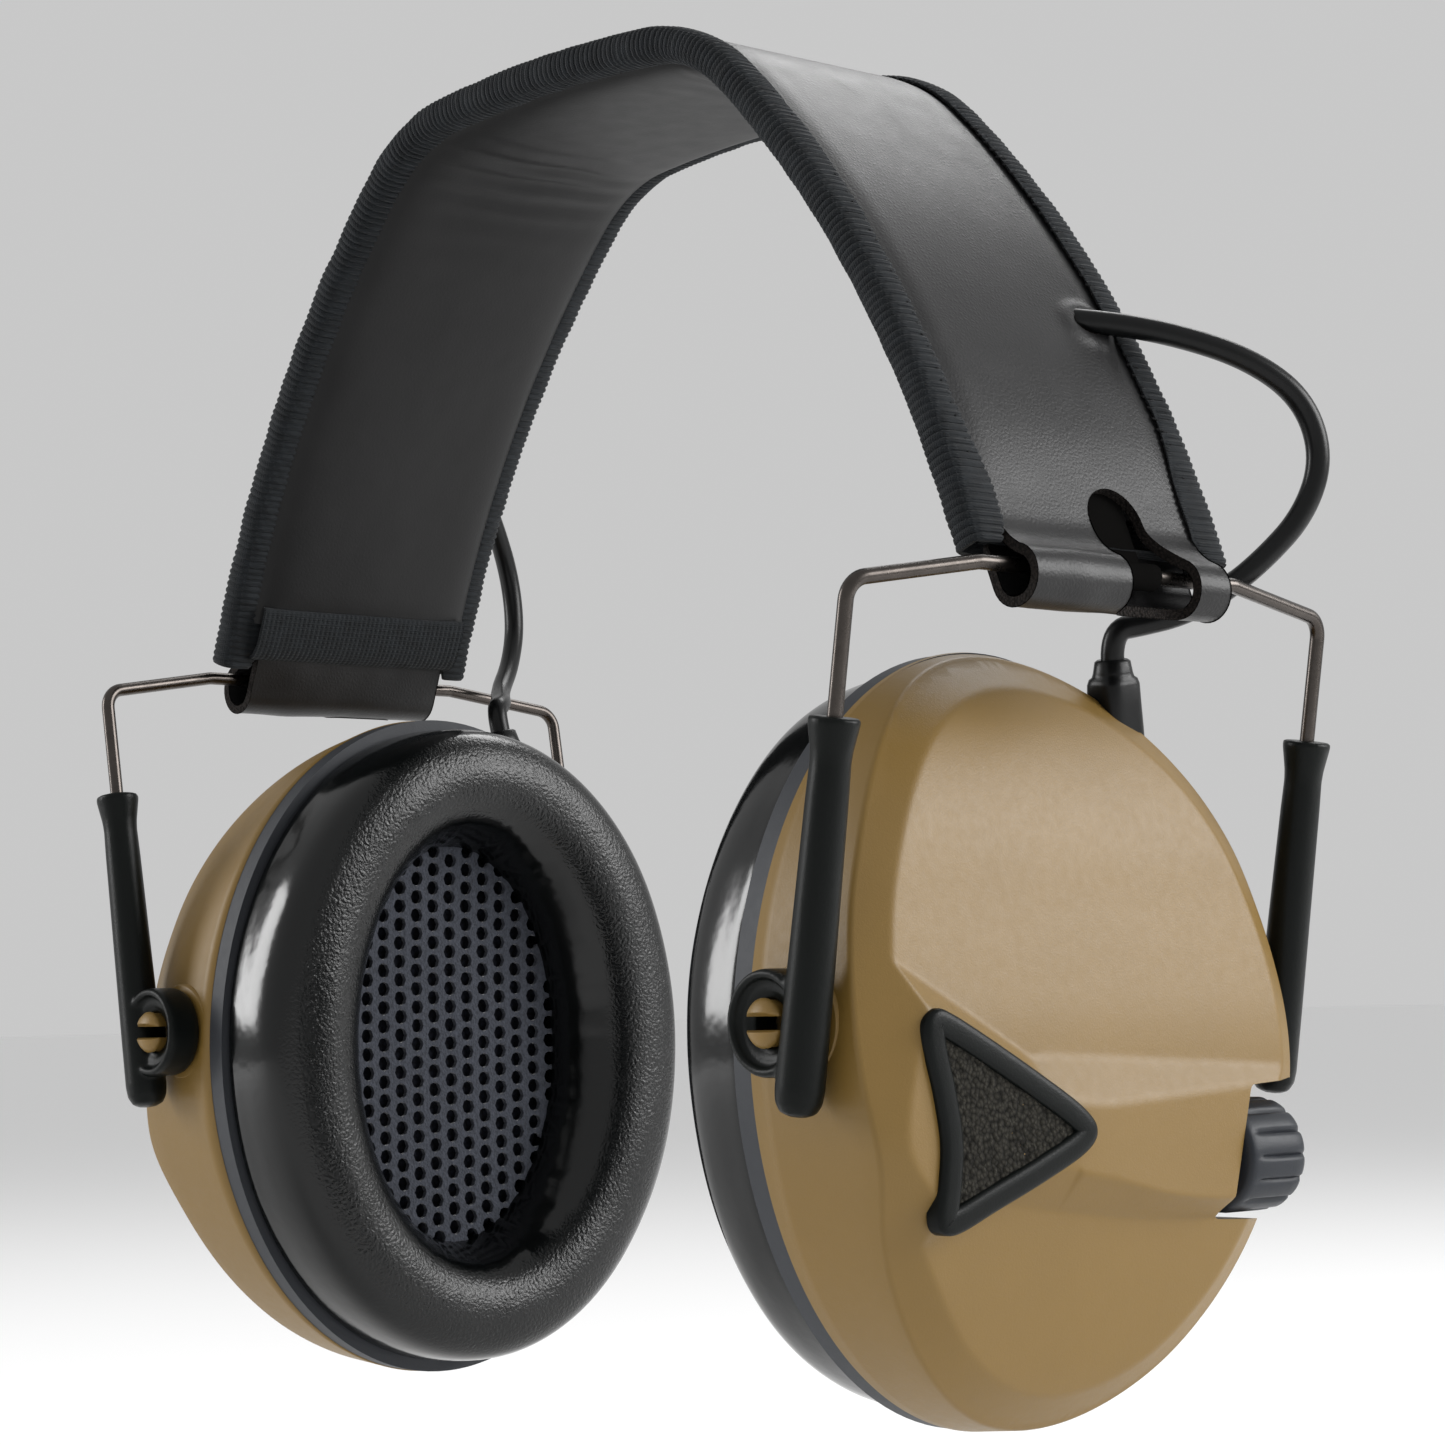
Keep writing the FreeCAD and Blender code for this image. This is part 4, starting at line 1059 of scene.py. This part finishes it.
def cup_shell(side):
    """The face and the wall of a cup, with the knob's notch or the battery door's opening."""
    rim = cup_oval(EDGE_IN, 300)
    holes = []
    if side == LEFT:
        keep = [p for p in rim if not (p[0] > 20 and BAY[1][1] < p[1] < BAY[0][1])]
        # the outline runs from above the bay all the way round to below it, then up the bay's wall
        keep = sorted(keep, key=lambda p: math.atan2(p[1] / CUP_T, p[0] / CUP_Y) % (2 * math.pi))
        above = [p for p in keep if p[1] >= BAY[0][1] and p[0] > 0 and p[1] < 0]
        ordered = above + [p for p in keep if p not in above]
        corner = round_corners([ordered[-1], BAY[1], BAY[0], ordered[0]], [0, 1.2, 1.2, 0], 4)
        outline = ordered[1:-1] + dense_open(corner, 0.5)
    else:
        outline = rim
        y0, y1, t0, t1 = DOOR
        holes = [dense(rounded_box(y0 - DOOR_GAP, y1 + DOOR_GAP, t0 - 2.0, t1 + DOOR_GAP, 1.6), 0.6)]
    inner = crease_points((-CUP_Y, -CUP_T), (CUP_Y, CUP_T), 1.5, 0.33, 0.012)
    flat, faces = fill(outline, holes, inner, 0.22)
    top = cup_face(flat[:, 0], flat[:, 1])
    points = [skin_point(side, y, t, x) for (y, t), x in zip(flat, top)]
    solid = [tuple(int(i) for i in f) for f in faces]
    hole_sets = [set((round(p[0], 4), round(p[1], 4)) for p in h) for h in holes]

    def kind(i):
        y, t = flat[i]
        if any((round(y, 4), round(t, 4)) in h for h in hole_sets):
            return "hole"
        r = from_rim(np.array([y]), np.array([t]))[0]
        return "rim" if abs(r - EDGE_IN) < 0.12 else "bay"

    rings = {}

    def ring(i):
        """The points that go down a wall from a point on the boundary."""
        if i in rings:
            return rings[i]
        y, t = flat[i]
        x = top[i]
        out = [i]
        what = kind(i)
        if what == "rim":
            ny, nt = on_oval(CUP_Y, CUP_T, math.atan2(t / CUP_T, y / CUP_Y))[2:]
            steps = [(0.27, x - 0.20), (0.07, x - 0.50), (0.0, x - 0.9)]
            low = x - 0.9
            steps += [(-DRAFT * k / 6, low + (SHELL_X - low) * k / 6) for k in range(1, 7)]
            for inset, depth in steps:
                away = EDGE_IN - inset
                out.append(len(points))
                points.append(skin_point(side, y + ny * away, t + nt * away, max(depth, SHELL_X)))
        else:
            foot = BAY_FLOOR if what == "bay" else x - 1.9
            out.append(len(points))
            points.append(skin_point(side, y, t, foot))
        rings[i] = out
        return out

    for a, b in rims(faces):
        ra, rb = ring(a), ring(b)
        for k in range(max(len(ra), len(rb)) - 1):
            i, j = min(k, len(rb) - 1), min(k, len(ra) - 1)
            i2, j2 = min(k + 1, len(rb) - 1), min(k + 1, len(ra) - 1)
            solid.append(tuple(dict.fromkeys([rb[i], ra[j], ra[j2], rb[i2]])))
    if side == LEFT:
        add_bay(points, solid)
    return points, solid


def add_bay(points, solid):
    """The floor of the notch round the knob, and the wall below it."""
    low, high = BAY[1][1], BAY[0][1]
    # it runs on a little behind the walls above and below, so no slit is left
    arc = [(CUP_Y * math.sqrt(1 - (t / CUP_T) ** 2), t) for t in np.linspace(low - 1.3, high + 1.3, 26)]
    start = len(points)
    points += [skin_point(LEFT, y + DRAFT - 0.05, t, SHELL_X) for y, t in arc]
    points += [skin_point(LEFT, y + 0.22, t, BAY_FLOOR) for y, t in arc]
    for y, t in arc:
        across = (t - low) / (high - low)
        points.append(skin_point(LEFT, BAY[1][0] + (BAY[0][0] - BAY[1][0]) * across - 0.3, t, BAY_FLOOR))
    solid += grid_faces(3, len(arc), start=start)


def stud(side, sign):
    """The round pad on the shell's wall and the two half domes of its split stud."""
    pad = [(0.01, 36.2), (6.9, 36.2), (6.95, 38.8), (6.7, 39.25), (6.2, 39.35), (0.01, 39.35)]
    parts = [lathe(pad, PIVOT, ACROSS, 48)]
    slot, r = 0.8, 2.95
    low = math.asin(slot / r)
    for half in (1, -1):
        outline = []
        for k in range(25):
            a = low + (math.pi - 2 * low) * k / 24
            outline.append((r * math.cos(a), half * r * math.sin(a)))
        if half < 0:
            outline = outline[::-1]
        flat, faces = fill(outline, (), hex_grid((-3, -3), (3, 3), 0.45), 0.1)

        def dome(f, lift):
            out = []
            for u, v in f:
                d = math.hypot(u, v) / r
                out.append((PIVOT.x + u, 44.6 + lift + 1.9 * math.sqrt(max(0.0, 1 - 0.9 * d * d)) - 0.6, PIVOT.z + v))
            return out

        def neck(f, y):
            return [(PIVOT.x + u * 0.9, y, PIVOT.z + v * 0.9 + half * 0.1) for u, v in f]

        parts.append(slab(flat, faces, lambda f: dome(f, 0.0), lambda f: neck(f, 39.0),
                          [lambda f: dome(f, -0.35), lambda f: neck(f, 43.7)])[:2])
    points, faces = join(*parts)
    piece(side_name(side, ("rear" if sign > 0 else "front") + "_stud"), mirrored(points, side, sign), faces,
          "tan_shell", side_name(side, "cup"), sharp=40)


for side in (LEFT, RIGHT):
    points, faces = cup_shell(side)
    shell = cup_piece(side, "cup_shell", points, faces, "tan_shell", "shell", 50)
    thick = shell.modifiers.new("wall", "SOLIDIFY")
    thick.thickness, thick.offset = 1.6 * MM, -1.0
    for sign in (1, -1):
        stud(side, sign)


# ---- battery door --------------------------------------------------------------------------
def battery_door():
    outline = dense(rounded_box(*DOOR, 1.4), 0.7)
    flat, faces = fill(outline, (), crease_points((-16, -42), (16, -26), 1.2, 0.4, 0.02), 0.25)

    def level(drop):
        def place(f):
            grips = np.zeros(len(f))
            for t0 in (-31.4, -29.9, -28.4):
                grips += 0.45 * ramp(1 - np.abs(f[:, 1] - t0) / 0.55) * ramp((7 - np.abs(f[:, 0])) / 0.8)
            x = cup_face(f[:, 0], f[:, 1]) - drop + (grips if drop < 0.3 else 0)
            return [skin_point(RIGHT, y, t, v) for (y, t), v in zip(f, x)]
        return place

    body = slab(flat, faces, level(0.0), level(1.8), [level(0.25)])[:2]
    hinge = Vector((-72.3, 0, CUP_Z - 41.0))
    barrels = []
    for y0, y1 in ((-14.6, -5.2), (-4.8, 4.8), (5.2, 14.6)):
        profile = [(0.65, y0), (1.05, y0), (1.2, y0 + 0.2), (1.2, y1 - 0.2), (1.05, y1), (0.65, y1), (0.65, y0)]
        barrels.append(lathe(profile, hinge, ACROSS, 20))
    points, faces = join(body, *barrels)
    piece("battery_lid", points, faces, "tan_shell", "battery_door", ("battery_door",), 45)


battery_door()

# ---- microphones ---------------------------------------------------------------------------
MIC = [(-31.9, 0.6), (-31.6, 2.7), (-30.0, 3.9), (-27.6, 3.3), (-21.5, 0.2), (-13.5, -4.2), (-6.9, -8.2), (-4.6, -11.0),
       (-6.5, -13.6), (-13.5, -16.8), (-21.5, -19.9), (-27.2, -22.1), (-29.8, -22.0), (-30.6, -20.2), (-29.9, -16.3),
       (-29.5, -11.5), (-30.4, -6.0), (-31.4, -2.2)]


def drawn_in(outline, inset):
    """An outline moved inwards by inset."""
    p = np.array(outline, float)
    ahead = np.roll(p, -1, axis=0) - np.roll(p, 1, axis=0)
    normal = np.stack([ahead[:, 1], -ahead[:, 0]], axis=1)
    normal /= np.linalg.norm(normal, axis=1)[:, None]
    middle = p.mean(axis=0)
    if ((middle - p) * normal).sum() < 0:
        normal = -normal
    return p + normal * inset


def mic_level(y):
    """The plane that the microphone's frame is set parallel to."""
    return 80.35 + 0.05 * (y + 33)


def microphone(side):
    outline = np.array(smooth_loop(MIC, 6))
    rings = [(-0.1, -1.6), (-0.1, 0.1), (0.02, 0.42), (0.35, 0.66), (0.9, 0.76), (1.8, 0.78), (2.4, 0.74), (2.8, 0.60),
             (3.02, 0.3), (3.05, -0.5), (3.05, -1.6)]
    points = []
    for inset, lift in rings:
        for y, t in drawn_in(outline, inset):
            points.append(skin_point(side, y, t, mic_level(y) + lift))
    faces = grid_faces(len(rings), len(outline), close_cols=True)
    cup_piece(side, "mic_bezel", points, faces, "black_plastic", "mic_frame", 50)
    inner = [tuple(p) for p in drawn_in(outline, 2.95)]
    flat, tris = fill(inner, (), hex_grid((-32, -24), (-3, 5), 0.42), 0.2)

    def top(f):
        out = []
        for y, t in f:
            fuzz = 0.30 * wobble(y, t, 1, 1.7) + 0.16 * wobble(y, t, 5, 4.1)
            out.append(skin_point(side, y, t, mic_level(y) + 0.05 + fuzz))
        return out

    points, solid = slab(flat, tris, top, lambda f: [skin_point(side, y, t, mic_level(y) - 1.4) for y, t in f])[:2]
    cup_piece(side, "mic_windscreen", points, solid, "mic_foam", "mic_foam", 60)


for side in (LEFT, RIGHT):
    microphone(side)


# ---- volume knob ---------------------------------------------------------------------------
def volume_knob():
    centre = Vector((74.5, 0, CUP_Z - 15.7))
    profile = [(1.55, 24.6), (6.3, 24.6), (6.9, 24.8), (7.15, 25.2), (7.2, 26.0), (7.2, 27.2), (7.2, 30), (7.2, 33),
               (7.15, 34.4), (6.9, 35.0), (6.3, 35.45), (5.6, 35.55), (4.9, 35.3), (4.5, 35.1), (0.01, 35.1)]
    per_flute = 12
    sides = 14 * per_flute
    points = []
    for r, y in profile:
        depth = 0.5 if 26.3 < y < 34.9 and r > 6.8 else (0.3 if r > 6.5 and y > 26 else 0.0)
        for k in range(sides):
            a = 2 * math.pi * k / sides
            u = (k % per_flute) / per_flute
            groove = math.exp(-((min(u, 1 - u)) / 0.09) ** 2)
            swell = 0.22 * math.sin(math.pi * u)
            rr = r - depth * groove + (swell * (0.5 if depth else 0))
            points.append((centre.x + rr * math.cos(a), y, centre.z + rr * math.sin(a)))
    faces = grid_faces(len(profile), sides, close_cols=True)
    piece("knob_grip", points, faces, "knob_plastic", "volume_knob", ("volume_knob",), 45)


volume_knob()


# ---- strain reliefs ------------------------------------------------------------------------
def strain_relief(side):
    route = LEFT_ROUTE if side == LEFT else RIGHT_ROUTE
    top, before = Vector(route[-1]), Vector(route[-2])
    down = (top - before).normalized()
    across = Vector(ACROSS)
    across = (across - down * across.dot(down)).normalized()
    other = down.cross(across)
    profile = [(0.0, 1.62, 2.0), (-0.15, 2.1, 2.0), (0.1, 2.4, 2.2), (1.6, 2.6, 2.4), (2.1, 2.65, 2.8),
               (2.4, 2.95, 3.2), (3.1, 3.1, 3.6), (6.0, 3.2, 3.8), (9.0, 3.35, 3.8), (11.6, 3.45, 3.8)]
    points = []
    sides = 40
    for along, r, power in profile:
        for k in range(sides):
            a = 2 * math.pi * k / sides
            c, s = math.cos(a), math.sin(a)
            size = r / (abs(c) ** power + abs(s) ** power) ** (1 / power)
            p = top + down * along + across * (size * c) + other * (size * s * 0.9)
            points.append((p.x * side, p.y, p.z))
    cup_piece(side, "lead_boot", points, tube_faces(len(profile), sides), "cable_jacket", "strain_relief", 50)


for side in (LEFT, RIGHT):
    strain_relief(side)

# ---- ear cushions --------------------------------------------------------------------------
CUSHION_Y, CUSHION_T = 38.0, 46.8
SECTION = [(55.45, 0.6), (55.3, -0.15), (54.4, -0.5), (52.0, -0.45), (49.0, -0.3), (46.2, 0.15), (44.2, 1.1),
           (42.8, 2.9), (42.0, 5.4), (41.75, 8.0), (42.1, 10.6), (43.1, 13.0), (44.8, 15.0), (47.2, 16.6),
           (50.0, 18.0), (53.0, 18.9), (55.45, 18.9)]


def ear_cushion(side):
    """The padded ring, creased round its inner wall."""
    section = smooth_line(SECTION, 4)
    around = 260
    points = []
    for i in range(around):
        a = 2 * math.pi * i / around
        y0, t0, ny, nt = on_oval(CUSHION_Y, CUSHION_T, a)
        squeeze = 1 - 0.085 * abs(math.sin(a)) ** 2
        u, v = math.cos(a) * 30, math.sin(a) * 30
        for x, w in section:
            inner = ramp(np.float64((w - 10.5) / 4.5))
            crease = 0.28 * wobble(u, v, 2 + w * 0.03, 0.42) * inner
            crease += 0.16 * wobble(u * 2, v * 2, w * 0.05, 0.9) * inner
            swell = 0.30 * wobble(u, v, x * 0.2, 0.09)
            crown = max(0.0, 1 - abs(w - 8) / 9)
            xx = x - (swell + 0.5 * crease) * crown + crease * 0.8
            ww = w * squeeze - swell * 0.4 * (1 if w < 3 else 0) + crease
            points.append((xx * side, y0 - ny * ww, CUP_Z + t0 - nt * ww))
    faces = grid_faces(around, len(section), close_rows=True, close_cols=True)
    obj = cup_piece(side, "ear_pad", points, faces, "cushion_vinyl", "cushion", 80)


def mesh_liner(side):
    """The perforated cloth over the driver, dished a little, with staggered long holes."""
    half_y, half_t = 21.6, 32.2
    outline = [on_oval(half_y, half_t, 2 * math.pi * k / 120)[:2] for k in range(120)]
    holes = []
    pitch_y, pitch_t = 3.1, 2.75
    hole_y, hole_t = 1.12, 1.14
    for row in range(-13, 14):
        for col in range(-8, 9):
            y = col * pitch_y
            t = row * pitch_t + (pitch_t / 2 if col % 2 else 0)
            if (y / (half_y - 1.9)) ** 2 + (t / (half_t - 2.0)) ** 2 > 1:
                continue
            tilt = 0.12 * wobble(y, t, 3, 0.3)
            turns = (math.pi * k / 4 for k in range(8))
            holes.append([(y + hole_y * math.cos(a + tilt), t + hole_t * math.sin(a)) for a in turns])
    flat, faces = fill(outline, holes, hex_grid((-half_y, -half_t), (half_y, half_t), 1.1), 0.25)

    def level(drop):
        def place(f):
            out = []
            for y, t in f:
                r2 = (y / half_y) ** 2 + (t / half_t) ** 2
                x = 53.2 + drop - 0.9 * r2 ** 2 + 0.25 * wobble(y, t, 8, 0.12)
                out.append((x * side, y, CUP_Z + t))
            return out
        return place

    points, solid = slab(flat, faces, level(0.0), level(0.75), [level(0.15)])[:2]
    obj = cup_piece(side, "liner_mesh", points, solid, "mesh_cloth", "mesh_liner", 50)
    flat_area(flat, faces) * MM * MM


def flat_area(flat, faces):
    """The area of flat triangles."""
    a, b, c = flat[faces[:, 0]], flat[faces[:, 1]], flat[faces[:, 2]]
    (bx, by), (cx, cy) = (b - a).T, (c - a).T
    return float(np.abs(bx * cy - by * cx).sum() / 2)


for side in (LEFT, RIGHT):
    ear_cushion(side)
    mesh_liner(side)

# ---- CAD nodes that stay -------------------------------------------------------------------
SLOTS = {s["node"]: s["material_slot"] for s in frame["record"]["subparts"]}
for node, slot in SLOTS.items():
    obj = bpy.data.objects.get(node)
    if obj is None:
        continue
    look = MATERIALS[slot]
    if not obj.material_slots:
        obj.data.materials.append(look)
    for k in range(len(obj.material_slots)):
        obj.material_slots[k].link = "OBJECT"
        obj.material_slots[k].material = look

# ---- floor ---------------------------------------------------------------------------------
bpy.ops.mesh.primitive_plane_add(size=30, location=(0, 0, -0.222))
floor = bpy.context.object
floor.name = "floor"
ground = Surface("floor_pale", (0.96, 0.96, 0.96), 0.8, level=0.1)
ground.bump(ground.noise(300, 2), 0.05, 0.2)
floor.data.materials.append(ground.material)
